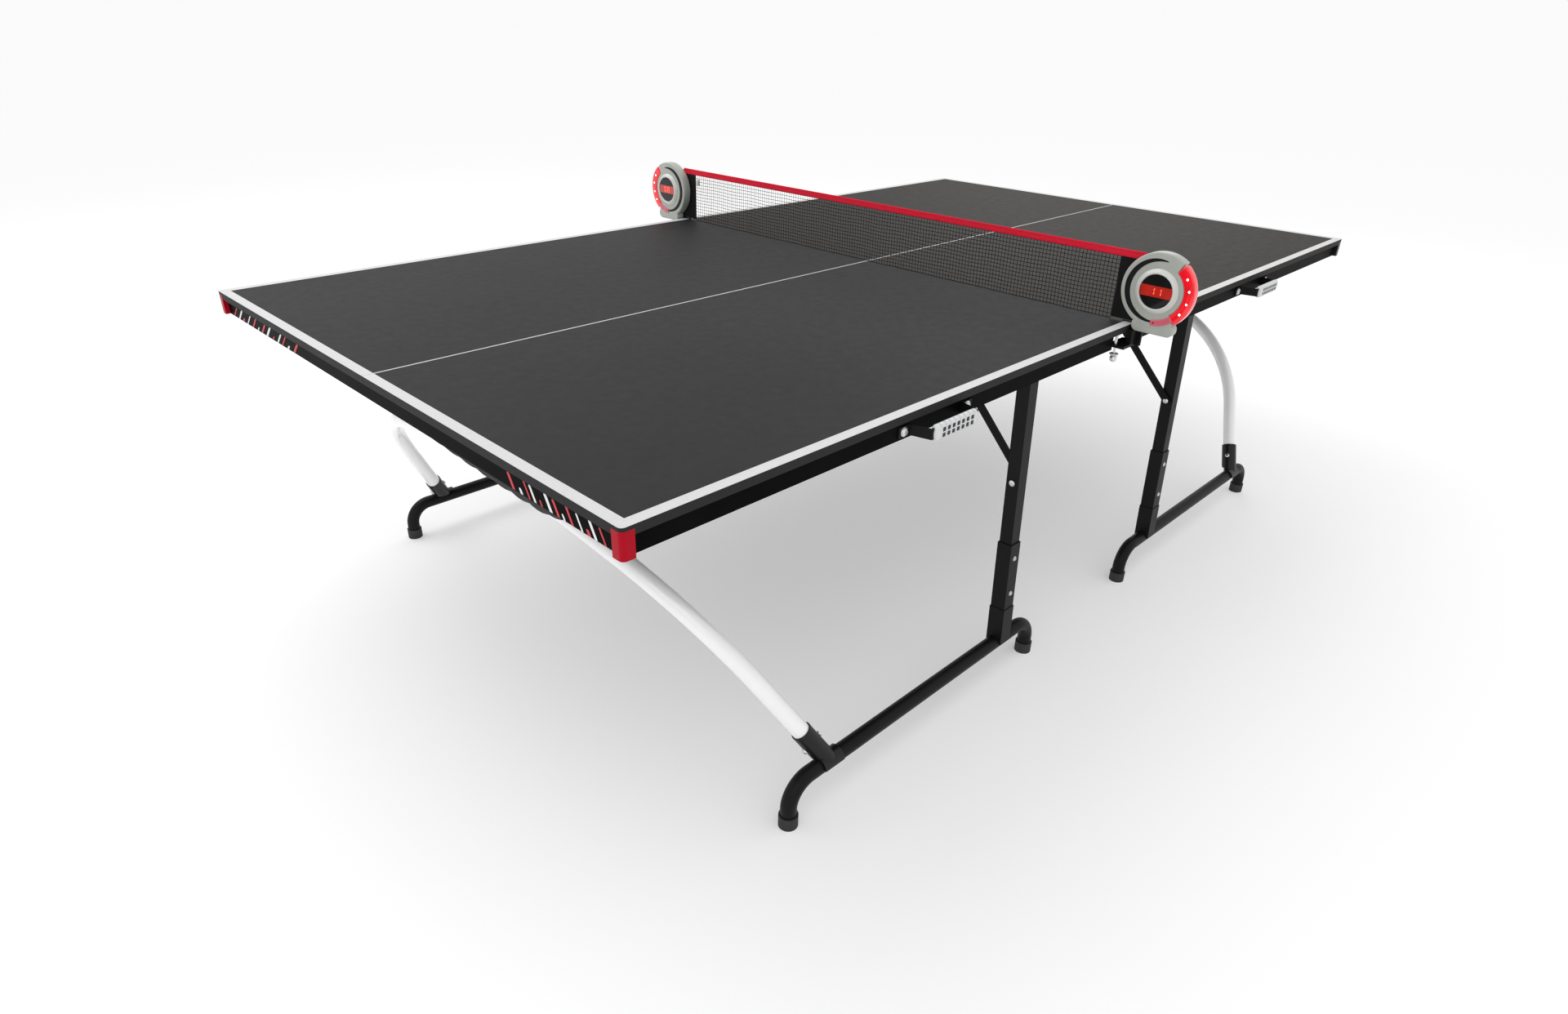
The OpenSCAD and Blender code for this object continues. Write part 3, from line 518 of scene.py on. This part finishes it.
# the first four entries size the white strip painted on the near apron as its top-edge highlight; the rest
# lay out the stripes
trimSet = {"highlightH": 0.0016, "highlightOut": 0.0006, "highlightBack": 0.0002, "highlightEnd": 0.012,
           "bars": 13, "start": 0.040, "pitch": 0.0165, "jitter": 0.003, "foot": 0.0008,
           "lean": {"left": 1.2, "right": 0.55}, "stretch": {"left": 1.75, "right": 1.15},
           "widths": (0.0042, 0.0062, 0.0074, 0.0040, 0.0056), "tallest": 0.030, "shortest": 0.009,
           "proud": 0.0004}


def leaningBar(width, height, lean):
    # bar with a round top, standing on the origin, drawn in XY
    bar = bmesh.new()
    ring = bmesh.ops.create_circle(bar, cap_ends=True, segments=16, radius=width / 2)["verts"]
    for v in ring:
        v.co.y = v.co.y + height - width / 2 if v.co.y > -1e-6 else 0.0
        v.co.x += v.co.y * lean
    thicken(bar, trimSet["proud"])
    bmesh.ops.remove_doubles(bar, verts=bar.verts, dist=1e-6)
    return bar


def paintApron():
    # thin white strip under the near edge, painted as the highlight on the apron's top edge, and slanted red
    # and white bars beside each corner
    s = trimSet
    lo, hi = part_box("end_apron_near")
    bm = bmesh.new()
    # painted highlight: a thin white strip on the near apron's face stands in for the light caught by its
    # top edge
    run = hi.y - s["highlightEnd"]
    block(bm, (lo.x - s["highlightOut"], -run, hi.z - s["highlightH"]), (lo.x + s["highlightBack"], run, hi.z))
    finishPiece("painted_edge_highlight", bm, "whiteLine")
    for side, word in ((left, "left"), (right, "right")):
        bars = {"redStripe": bmesh.new(), "whiteBar": bmesh.new()}
        stretch = s["stretch"][word]
        for i in range(s["bars"]):
            swing = 0.5 + 0.5 * math.sin(i * 2.1 + 0.4)
            height = s["shortest"] + (s["tallest"] - s["shortest"]) * swing
            width = s["widths"][i % len(s["widths"])] * math.sqrt(stretch)
            y = side * (hi.y - s["start"] - i * s["pitch"] * stretch - s["jitter"] * math.sin(i * 1.7))
            upright = Matrix(((0, 0, -1, lo.x), (1, 0, 0, y), (0, 1, 0, lo.z + s["foot"]), (0, 0, 0, 1)))
            bar = leaningBar(width, height, -side * s["lean"][word])
            addTo(bars["redStripe" if i % 2 == 0 else "whiteBar"], bar, upright)
        finishPiece("stripes_red_" + word, bars["redStripe"], "redStripe")
        finishPiece("stripes_white_" + word, bars["whiteBar"], "whiteBar")


paintLines()
paintApron()
print("painted lines and stripes done")


gripSet = {"length": 0.124, "ribs": 8, "groove": 0.0011, "endRound": 0.008, "slotDepth": 0.0022,
           "slotRound": 0.0014, "slotRow": 0.17, "slotHalfH": 0.125, "slotHalfW": 0.28, "slotShift": 0.02}


def makeGrips():
    # moulded grip: rounded ends, ribs, and two rows of finger slots on the outer face
    s = gripSet
    lo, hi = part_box("handle_grips")
    height, depth = hi.z - lo.z, hi.y - lo.y
    body, dark = bmesh.new(), bmesh.new()
    pitch = (s["length"] - 2 * s["endRound"]) / s["ribs"]
    for end in (near, far):
        middle = Vector((end * (hi.x - s["length"] / 2), (lo.y + hi.y) / 2, (lo.z + hi.z) / 2))
        part = bmesh.new()
        ring = bmesh.ops.create_circle(part, segments=40, radius=depth / 2)["verts"]
        for v in ring:
            v.co.y += math.copysign((height - depth) / 2, v.co.y) if abs(v.co.y) > 1e-6 else 0
        turn = Matrix(((0, 0, 1, 0), (1, 0, 0, 0), (0, 1, 0, 0), (0, 0, 0, 1)))
        bmesh.ops.transform(part, matrix=turn, verts=part.verts)
        stations = []
        for i in range(6):
            a = i / 5 * math.pi / 2
            shrink = (1 - math.sin(a)) * 2 * s["endRound"] / depth
            stations.append((s["endRound"] * (1 - math.cos(a)), 1 - shrink))
        for i in range(s["ribs"]):
            x = s["endRound"] + i * pitch
            cut = 1 - 2 * s["groove"] / depth
            stations += [(x + pitch * at, k) for at, k in ((0.36, 1), (0.42, cut), (0.58, cut), (0.64, 1))]
        stations += [(s["length"] - x, k) for x, k in stations[5::-1]]
        loop = part.edges[:]
        last, size = stations[0]
        bmesh.ops.scale(part, vec=(1, size, size), verts=part.verts)
        for x, k in stations[1:]:
            made = bmesh.ops.extrude_edge_only(part, edges=loop)["geom"]
            loop, verts = onlyEdges(made), onlyVerts(made)
            bmesh.ops.scale(part, vec=(1, k / size, k / size), verts=verts)
            bmesh.ops.translate(part, vec=(x - last, 0, 0), verts=verts)
            last, size = x, k
        bmesh.ops.holes_fill(part, edges=[e for e in part.edges if e.is_boundary], sides=0)
        shift = Matrix.Translation(middle - Vector((s["length"] / 2, 0, 0)))
        addTo(body, part, shift)
        halfW, halfH = pitch * s["slotHalfW"], height * s["slotHalfH"]
        for i in range(1, s["ribs"]):
            x = middle.x - s["length"] / 2 + s["endRound"] + (i + s["slotShift"]) * pitch
            for row in (-1, 1):
                z = middle.z + row * height * s["slotRow"]
                slot = bmesh.new()
                block(slot, (x - halfW, lo.y - 0.0003, z - halfH),
                      (x + halfW, lo.y + s["slotDepth"], z + halfH))
                through = [e for e in slot.edges if abs(e.verts[0].co.y - e.verts[1].co.y) > 0.001]
                roundEdges(slot, through, s["slotRound"], 3)
                addTo(dark, slot)
    finishPiece("hand_grips", body, "grip", replaced=("handle_grips",))
    finishPiece("grip_slots", dark, "capBlack")


def boltShape(shaftR, headR, headH, length, washer=True):
    # domed head with a round socket, washer, shaft and a plain nut end; the head's seat is at height 0
    washerR, washerH = headR * 1.35, headH * 0.22
    top = washerH + headH
    profile = [(0, top * 0.45), (headR * 0.42, top * 0.45), (headR * 0.46, top * 0.97), (headR * 0.62, top),
               (headR * 0.86, top * 0.82), (headR, top * 0.5), (headR, washerH)]
    if washer:
        profile += [(washerR * 0.97, washerH), (washerR, washerH * 0.6), (washerR, 0)]
    profile += [(shaftR, 0), (shaftR, -length)]
    headOutline = ((0.95, 0), (1, 0.15), (1, 0.75), (0.9, 0.85), (0, 0.85))
    profile += [(headR * r, -length - headH * h) for r, h in headOutline]
    return lathe(profile, 28)


boltSet = {"handleSpan": 0.180, "shaft": 0.003, "handleHead": 0.0066, "strap": 0.003, "rail": 0.002,
           "pivotShaft": 0.004, "pivotHead": 0.0066, "shoulderAt": 0.0151, "shoulderH": 0.0029,
           "sleeveHead": 0.0042, "sleeveHalf": 0.0175, "sleeveScrew": 0.009, "sleeveDrops": (0.4143, 0.5023),
           "headH": 0.0036, "socketHead": 0.006, "socketR": 0.0205, "archTilt": 29}


def makeBolts():
    s = boltSet
    lo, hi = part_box("handle_bolts")
    headR = (hi.z - lo.z) / 2
    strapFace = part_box("handle_straps")[1].y - s["strap"]
    bm = bmesh.new()
    for end in (near, far):
        for x in (hi.x - headR, hi.x - headR - s["handleSpan"]):
            place = (end * x, strapFace, (lo.z + hi.z) / 2)
            addTo(bm, boltShape(s["shaft"], s["handleHead"], s["headH"], s["strap"] + s["rail"]),
                  axisMatrix(place, (0, -1, 0)))
    finishPiece("handle_screws", bm, "fastener", replaced=("handle_bolts",))
    joints = {j["name"]: Vector(j["pos_m"]) for j in frame["record"]["behaviour"]["joints"] if "pos_m" in j}
    for name, (endWay, sideWay) in quarters.items():
        hinge, pivot = joints["leg_fold_" + name], joints["brace_fold_" + name]
        down = (Vector((hinge.x, pivot.y, pivot.z)) - hinge).normalized()
        outward = Vector((0, sideWay, 0)) - down * down.y * sideWay
        lo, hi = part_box("leg_bolts_" + name)
        bm = bmesh.new()
        span = hi.x - lo.x - 2 * s["headH"]
        seat = lo.x + s["headH"] if endWay > 0 else hi.x - s["headH"]
        addTo(bm, boltShape(s["pivotShaft"], s["pivotHead"], s["headH"] * 0.8, span, False),
              axisMatrix((seat, pivot.y, pivot.z), (-endWay, 0, 0)))
        shoulderR, shoulderH = s["pivotHead"], s["shoulderH"]
        shoulder = lathe([(0, 0), (shoulderR, 0), (shoulderR, shoulderH), (0, shoulderH)], 28)
        place = (hinge.x - endWay * s["shoulderAt"], pivot.y, pivot.z)
        addTo(bm, shoulder, axisMatrix(place, (-endWay, 0, 0)))
        for drop in s["sleeveDrops"]:
            place = hinge + down * drop + outward.normalized() * s["sleeveHalf"]
            screw = boltShape(s["shaft"], s["sleeveHead"], s["headH"] * 0.75, s["sleeveScrew"])
            addTo(bm, screw, axisMatrix(place, outward))
        finishPiece("leg_screws_" + name, bm, "fastener", "leg_" + name, ("leg_bolts_" + name,))
    tilt = math.radians(s["archTilt"])
    for end, word in ((near, "near"), (far, "far")):
        lo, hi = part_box("socket_bolts_" + word)
        bm = bmesh.new()
        axis = Vector((end * math.cos(tilt), 0, -math.sin(tilt)))
        for side in (left, right):
            middle = Vector(((lo.x + hi.x) / 2, side * (hi.y - s["handleHead"]), (lo.z + hi.z) / 2))
            addTo(bm, boltShape(s["shaft"], s["socketHead"], s["headH"], 2 * s["socketR"]),
                  axisMatrix(middle + axis * s["socketR"], axis))
        finishPiece("socket_screws_" + word, bm, "fastener", "arch_" + word,
                    ("socket_bolts_" + word,))


makeGrips()
makeBolts()
print("grips and screws done")


scorerSet = {"lensIn": 0.058, "lensSpan": 52, "lensBack": 0.0182, "edge": 0.0032, "groove": (0.0585, 0.0705),
             "grooveFrom": 78, "grooveSweep": 200, "bandHalf": 0.0115, "digitH": 0.0150, "digitW": 0.0078,
             "stroke": 0.0019, "lampR": 0.0021, "lampAt": (-33, -12, 10, 31), "lampRing": 0.069,
             "tab": (0.0595, 0.0725), "tabFrom": -90, "tabSweep": 40, "tabUp": 0.0022, "dotR": 0.0019,
             "lipH": 0.028, "lipOut": 0.62, "lipPast": 0.006, "lipRound": 0.0125, "lensUp": 0.0009,
             "lensRound": 0.0034, "scores": {"left": "08", "right": "11"}}
segments = {"0": "abcdef", "1": "bc", "8": "abcdefg"}
# kind: finish, material slot, CAD nodes it stands for
scorerLooks = {
    "housing": ("housing", "housing", ("scorer_housings",)),
    "groove": ("groove", "housing", ()),
    "bezel": ("bezel", "bezel", ("scorer_bezels",)),
    "window": ("display", "display", ("scorer_displays",)),
    "band": ("displayBand", "display", ()),
    "digits": ("digit", "display", ()),
    "lens": ("lens", "lens", ("scorer_lenses",)),
    "lamps": ("lamp", "lens", ()),
    "tab": ("tab", "lens", ()),
    "dot": ("groove", "housing", ()),
    "lip": ("housing", "housing", ()),
}


def arcBlock(inner, outer, fromDeg, sweepDeg, back, front, steps):
    # curved bar: a rectangle turned about the scorer's axis
    bm = bmesh.new()
    a = math.radians(fromDeg)
    corners = [(inner, back), (outer, back), (outer, front), (inner, front)]
    face = bm.faces.new([bm.verts.new((r * math.cos(a), r * math.sin(a), w)) for r, w in corners])
    bmesh.ops.spin(bm, geom=[face] + face.edges[:] + face.verts[:], cent=(0, 0, 0), axis=(0, 0, 1),
                   angle=math.radians(sweepDeg), steps=steps)
    bmesh.ops.recalc_face_normals(bm, faces=bm.faces)
    return bm


def digitShape(mark, base):
    # seven-bar figure on the display
    s = scorerSet
    w, h, t = s["digitW"] / 2, s["digitH"] / 2, s["stroke"]
    bars = {"a": (0, h, 1), "g": (0, 0, 1), "d": (0, -h, 1), "f": (-w, h / 2, 0), "b": (w, h / 2, 0),
            "e": (-w, -h / 2, 0), "c": (w, -h / 2, 0)}
    bm = bmesh.new()
    for key in segments[mark]:
        u, v, flat = bars[key]
        halfU, halfV = (w - t * 0.55, t / 2) if flat else (t / 2, h / 2 - t * 0.55)
        part = bmesh.new()
        block(part, (u - halfU, v - halfV, base), (u + halfU, v + halfV, base + 0.0005))
        roundEdges(part, edgesAlongZ(part, 0.0003), t * 0.42, 2)
        addTo(bm, part)
    return bm


def makeScorers():
    s = scorerSet
    houseLo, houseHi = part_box("scorer_housings")
    bezelLo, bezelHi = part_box("scorer_bezels")
    showLo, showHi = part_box("scorer_displays")
    bezelR = (bezelHi.z - bezelLo.z) / 2
    showR = (showHi.z - showLo.z) / 2
    bigR = houseHi.z - (bezelHi.z + bezelLo.z) / 2
    centre = Vector((houseLo.x, bezelHi.y - bezelR, (bezelHi.z + bezelLo.z) / 2))
    deep = houseHi.x - houseLo.x
    rise = houseLo.x - bezelLo.x
    lipLow = houseLo.z - centre.z
    for side, word in ((left, "left"), (right, "right")):
        part = {kind: bmesh.new() for kind in scorerLooks}
        rows = ((0, 0, -1, centre.x), (side, 0, 0, side * centre.y), (0, 1, 0, centre.z), (0, 0, 0, 1))
        stand = Matrix(rows)

        disc = bmesh.new()
        ring = bmesh.ops.create_circle(disc, cap_ends=True, segments=120, radius=bigR)["verts"]
        for v in ring:
            if abs(math.degrees(math.atan2(v.co.y, v.co.x))) < s["lensSpan"] - 0.5:
                v.co.xy *= (s["lensIn"] - 0.0006) / bigR
        bmesh.ops.translate(disc, verts=disc.verts, vec=(0, 0, -deep))
        thicken(disc, deep)
        bmesh.ops.recalc_face_normals(disc, faces=disc.faces)
        flat = [e for e in disc.edges if abs(e.verts[0].co.z - e.verts[1].co.z) < 1e-6 and e.is_manifold]
        roundEdges(disc, flat, s["edge"], 4)
        addTo(part["housing"], disc, stand)

        crescent = arcBlock(*s["groove"], s["grooveFrom"], s["grooveSweep"], -0.001, 0.0005, 40)
        middle = sum(s["groove"]) / 2
        for v in crescent.verts:
            t = (math.degrees(math.atan2(v.co.y, v.co.x)) % 360 - s["grooveFrom"]) / s["grooveSweep"]
            r = v.co.xy.length
            swell = 0.1 + 0.9 * math.sin(math.pi * min(max(t, 0), 1)) ** 0.7
            v.co.xy *= (middle + (r - middle) * swell) / r
        addTo(part["groove"], crescent, stand)

        rim = [(showR + 0.0004, 0), (showR + 0.0004, rise * 0.86), (showR + 0.0012, rise * 0.97),
               (showR + 0.0026, rise), (showR + 0.0042, rise * 0.93), (bezelR - 0.0035, rise * 0.5),
               (bezelR - 0.0008, rise * 0.22), (bezelR, 0.0005), (bezelR, 0)]
        addTo(part["bezel"], lathe(rim, 96), stand)
        glassTop = houseLo.x - showLo.x
        glass = [(0, glassTop), (showR * 0.5, glassTop - 0.0001), (showR * 0.97, glassTop - 0.0006),
                 (showR, glassTop - 0.0014), (showR, 0), (0, 0)]
        addTo(part["window"], lathe(glass, 72), stand)
        band = bmesh.new()
        bmesh.ops.create_circle(band, cap_ends=True, segments=72, radius=showR * 0.985)
        for way in (-1, 1):
            everything = band.verts[:] + band.edges[:] + band.faces[:]
            bmesh.ops.bisect_plane(band, geom=everything, plane_co=(0, way * s["bandHalf"], 0),
                                   plane_no=(0, way, 0), clear_outer=True)
        thicken(band, 0.0006)
        bmesh.ops.translate(band, verts=band.verts, vec=(0, 0, glassTop - 0.0002))
        addTo(part["band"], band, stand)
        for i, mark in enumerate(s["scores"][word]):
            place = (i - 0.5) * s["digitW"] * 1.9 * -side
            addTo(part["digits"], digitShape(mark, glassTop + 0.0003),
                  stand @ Matrix.Translation((place, 0, 0)) @ Matrix.Diagonal((-side, 1, 1, 1)))

        lens = arcBlock(s["lensIn"], bigR - 0.0003, -s["lensSpan"] + 1, 2 * s["lensSpan"] - 2,
                        -s["lensBack"], s["lensUp"], 48)
        roundEdges(lens, sharpEdges(lens), s["lensRound"], 4)
        addTo(part["lens"], lens, stand)
        for at in s["lampAt"]:
            a = math.radians(at)
            r = s["lampR"]
            dome = lathe([(0, 0.0009), (r * 0.7, 0.0006), (r, 0), (r, -0.001), (0, -0.001)], 16)
            place = (s["lampRing"] * math.cos(a), s["lampRing"] * math.sin(a), s["lensUp"])
            addTo(part["lamps"], dome, stand @ Matrix.Translation(place))
        tab = arcBlock(*s["tab"], s["tabFrom"], s["tabSweep"], -0.002, s["tabUp"], 18)
        roundEdges(tab, sharpEdges(tab), 0.0013, 3)
        addTo(part["tab"], tab, stand)
        a = math.radians(s["tabFrom"] + 6)
        dot = lathe([(0, 0.0026), (0.0016, 0.0025), (s["dotR"], 0.002), (s["dotR"], 0), (0, 0)], 16)
        r = sum(s["tab"]) / 2
        addTo(part["dot"], dot, stand @ Matrix.Translation((r * math.cos(a), r * math.sin(a), 0)))

        lipIn, lipOut = -(centre.y - halfWidth) + s["lipPast"], bigR * s["lipOut"]
        lip = bmesh.new()
        block(lip, (lipIn, lipLow, -deep), (lipOut, lipLow + s["lipH"], 0))
        roundEdges(lip, edgesAlongZ(lip, 0.01), s["lipRound"], 8)
        bmesh.ops.recalc_face_normals(lip, faces=lip.faces)
        for v in lip.verts:
            down = (lipLow + s["lipH"] - v.co.y) / s["lipH"]
            v.co.z = -deep / 2 + (v.co.z + deep / 2) * (1 - 0.16 * down * down)
        roundEdges(lip, sharpEdges(lip), 0.003, 4)
        addTo(part["lip"], lip, stand)

        for kind, (finish, slot, replaced) in scorerLooks.items():
            finishPiece("scorer_%s_%s" % (kind, word), part[kind], finish, replaced=replaced)


makeScorers()
print("scorers done")


# cordArea was chosen to suit the area of these cords; the net's real cut is the whole rectangle
netSet = {"cell": 0.0090, "strand": 0.0012, "ripple": 0.0012, "sag": 0.0009, "cordArea": 0.06,
          "tapeWall": 0.0005, "tapeSteps": 60, "tapeWave": 0.0002, "stitch": 0.0042,
          "stitchRows": (0.0022, 0.0045), "stitchSize": (0.00025, 0.0013, 0.0002),
          "sleeve": 0.0012, "sleeveWave": 0.0006}


def pullAlongY(bm, edges, step):
    # extrudes the edges by one step, and gives back the new outer edges
    made = bmesh.ops.extrude_edge_only(bm, edges=edges)["geom"]
    fresh = onlyVerts(made)
    bmesh.ops.translate(bm, verts=fresh, vec=(0, step, 0))
    return [e for e in onlyEdges(made) if e.verts[0] in fresh and e.verts[1] in fresh]


def makeNet():
    # square mesh of cords, slightly rippled towards its bottom edge
    s = netSet
    lo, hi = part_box("net_mesh")
    wide, tall = hi.y - lo.y, hi.z - lo.z
    bm = bmesh.new()
    across, down = round(wide / s["cell"]), round(tall / s["cell"])
    bmesh.ops.create_grid(bm, x_segments=across, y_segments=down, size=0.5)
    bmesh.ops.scale(bm, vec=(wide - 0.001, tall - 0.001, 1), verts=bm.verts)
    stand = Matrix(((0, 0, 1, 0), (1, 0, 0, 0), (0, 1, 0, (lo.z + hi.z) / 2), (0, 0, 0, 1)))
    bmesh.ops.transform(bm, matrix=stand, verts=bm.verts)
    bmesh.ops.wireframe(bm, faces=bm.faces[:], thickness=s["strand"], offset=0, use_replace=True,
                        use_boundary=True, use_even_offset=True)
    for v in bm.verts:
        low = (hi.z - v.co.z) / tall
        v.co.x += s["ripple"] * low * (math.sin(v.co.y * 31) + 0.6 * math.sin(v.co.y * 67 + 1.3))
        v.co.z += s["sag"] * math.sin(v.co.y * 44) * math.sin(low * math.pi)
    net = finishPiece("net_cords", bm, "netCord", replaced=("net_mesh",))


def makeTape():
    # doubled tape folded over the net's top, with two rows of stitches
    s = netSet
    lo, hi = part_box("net_tape")
    half = (hi.x - lo.x) / 2 - s["tapeWall"]
    bm = bmesh.new()
    crown = hi.z - half - s["tapeWall"]
    fold = [(-half, lo.z), (-half, crown)]
    for i in range(1, 6):
        a = math.pi - i * math.pi / 6
        fold.append((half * math.cos(a), crown + half * math.sin(a)))
    fold += [(half, crown), (half, lo.z)]
    edges = strip(bm, [(x, lo.y, z) for x, z in fold])
    for i in range(s["tapeSteps"]):
        edges = pullAlongY(bm, edges, (hi.y - lo.y) / s["tapeSteps"])
    bmesh.ops.recalc_face_normals(bm, faces=bm.faces)
    bmesh.ops.solidify(bm, geom=bm.faces[:], thickness=s["tapeWall"])
    for v in bm.verts:
        v.co.x += s["tapeWave"] * math.sin(v.co.y * 53)
    tape = finishPiece("net_tape_band", bm, "tape", replaced=("net_tape",), degrees=50)
    seam = bmesh.new()
    reach = Vector(s["stitchSize"])
    for i in range(round((hi.y - lo.y) / s["stitch"])):
        y = lo.y + (i + 0.5) * s["stitch"]
        for face in (-1, 1):
            x = face * (half + s["tapeWall"] + 0.00005)
            for z in (lo.z + s["stitchRows"][0], hi.z - s["stitchRows"][1]):
                block(seam, Vector((x, y, z)) - reach, Vector((x, y, z)) + reach)
    finishPiece("tape_stitches", seam, "tapeThread")


def makeSleeves():
    # flat cloth panel at each end of the net
    s = netSet
    lo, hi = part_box("net_sleeves")
    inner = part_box("net_mesh")[1].y
    for side, word in ((left, "left"), (right, "right")):
        bm = bmesh.new()
        wide, tall = hi.y - inner, hi.z - lo.z
        bmesh.ops.create_grid(bm, x_segments=12, y_segments=26, size=0.5)
        bmesh.ops.scale(bm, vec=(wide - 0.001, tall - 0.0006, 1), verts=bm.verts)
        place = Matrix(((0, 0, 1, -s["sleeve"] / 2), (side, 0, 0, side * (inner + wide / 2)),
                        (0, 1, 0, (lo.z + hi.z) / 2), (0, 0, 0, 1)))
        bmesh.ops.transform(bm, matrix=place, verts=bm.verts)
        for v in bm.verts:
            v.co.x += s["sleeveWave"] * math.sin(v.co.z * 70) * math.cos(v.co.y * 90)
        bmesh.ops.recalc_face_normals(bm, faces=bm.faces)
        bmesh.ops.solidify(bm, geom=bm.faces[:], thickness=s["sleeve"])
        piece = finishPiece("net_sleeve_" + word, bm, "sleeve",
                            replaced=("net_sleeves",), degrees=60)


clipSet = {"from": (-0.0045, 0.694, 0.868), "to": (0.0045, 0.703, 0.886), "round": 0.0018}


def makeClip():
    # small white clip that joins the net to its cord
    bm = bmesh.new()
    block(bm, clipSet["from"], clipSet["to"])
    roundEdges(bm, bm.edges[:], clipSet["round"], 3)
    finishPiece("net_clip", bm, "whiteLine")


makeNet()
makeTape()
makeSleeves()
makeClip()
print("net, tape and sleeves done")


# belly is how far along its length the bag hangs lowest
# gather is a guess at the cloth taken up along its mouth
pouchSet = {"around": 26, "rings": 60, "wall": 0.0011, "belly": 0.24, "hem": 0.004, "gather": 1.04,
            "foldDepth": 0.035, "bindingHalf": 0.0022, "bindingIn": 0.0045, "bindingEnd": 0.006,
            "bindingDrop": 0.009, "bindingTop": 0.0008}


def makePouch():
    # mesh bag hung behind the near apron: a lofted open shell that bellies down, gathered at both ends
    s = pouchSet
    lo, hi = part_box("storage_pouch")
    deep, drop, run = hi.x - lo.x, hi.z - lo.z, hi.y - lo.y
    bm = bmesh.new()
    angles = [math.pi * i / s["around"] for i in range(s["around"] + 1)]
    edges = strip(bm, [(-math.cos(a), lo.y, -math.sin(a)) for a in angles])
    for i in range(s["rings"]):
        edges = pullAlongY(bm, edges, run / s["rings"])
    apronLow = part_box("end_apron_near")[0].z
    held = hi.z - apronLow + s["hem"]
    for v in bm.verts:
        t = (v.co.y - lo.y) / run
        if t < s["belly"]:
            swell = 0.5 - 0.5 * math.cos(math.pi * t / s["belly"])
        else:
            swell = math.cos(math.pi / 2 * (t - s["belly"]) / (1 - s["belly"])) ** 0.75 if t < 1 else 0
        fold = 1 + s["foldDepth"] * math.sin(t * 64 + 3 * v.co.x) * swell
        u, w = v.co.x, v.co.z
        square = (abs(u) ** 3 + abs(w) ** 3) ** (1 / 3)
        u, w = u / square ** 0.6, w / square ** 0.6
        v.co.x = lo.x + 0.002 + (u + 1) / 2 * (deep - 0.004) * (0.3 + 0.7 * swell)
        v.co.z = hi.z - 0.002 + w * (held + (drop - held - 0.006) * swell) * fold
        v.co.z = max(v.co.z, lo.z + 0.0015)
    bmesh.ops.recalc_face_normals(bm, faces=bm.faces)
    bmesh.ops.solidify(bm, geom=bm.faces[:], thickness=s["wall"])
    surface = sum(f.calc_area() for f in bm.faces) / 2
    bag = finishPiece("mesh_pouch", bm, "fabric", replaced=("storage_pouch",), degrees=70)
    # surface is the shaped bag's area; it is summed here but nothing uses it, and a cut worked back from it
    # could not be checked against it; the cut's other side is worked back from the shaped bag's area, so it
    # can't be checked against it
    binding = bmesh.new()
    for x in (lo.x + s["bindingIn"], hi.x - s["bindingIn"]):
        block(binding, (x - s["bindingHalf"], lo.y + s["bindingEnd"], hi.z - s["bindingDrop"]),
              (x + s["bindingHalf"], hi.y - s["bindingEnd"], hi.z - s["bindingTop"]))
    roundEdges(binding, binding.edges[:], 0.0009, 2)
    finishPiece("pouch_binding", binding, "sleeve")


screwSet = {"holeR": 0.0034, "ringR": 0.0095, "bulge": 0.0004, "low": 0.001, "high": 0.0038, "lift": 0.0155}


def makeKnobRings():
    # white collar above each clamp screw's knob
    s = screwSet
    for word in ("left", "right"):
        lo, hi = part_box("clamp_screw_" + word)
        middle = (lo + hi) / 2
        ring = lathe([(s["holeR"], s["low"]), (s["ringR"], s["low"]),
                      (s["ringR"] + s["bulge"], (s["low"] + s["high"]) / 2),
                      (s["ringR"], s["high"]), (s["holeR"], s["high"]), (s["holeR"], s["low"])], 32)
        bm = bmesh.new()
        addTo(bm, ring, Matrix.Translation((middle.x, middle.y, lo.z + s["lift"])))
        finishPiece("knob_ring_" + word, bm, "bezel", "clamp_screw_" + word)


makePouch()
makeKnobRings()
print("pouch and knobs done")
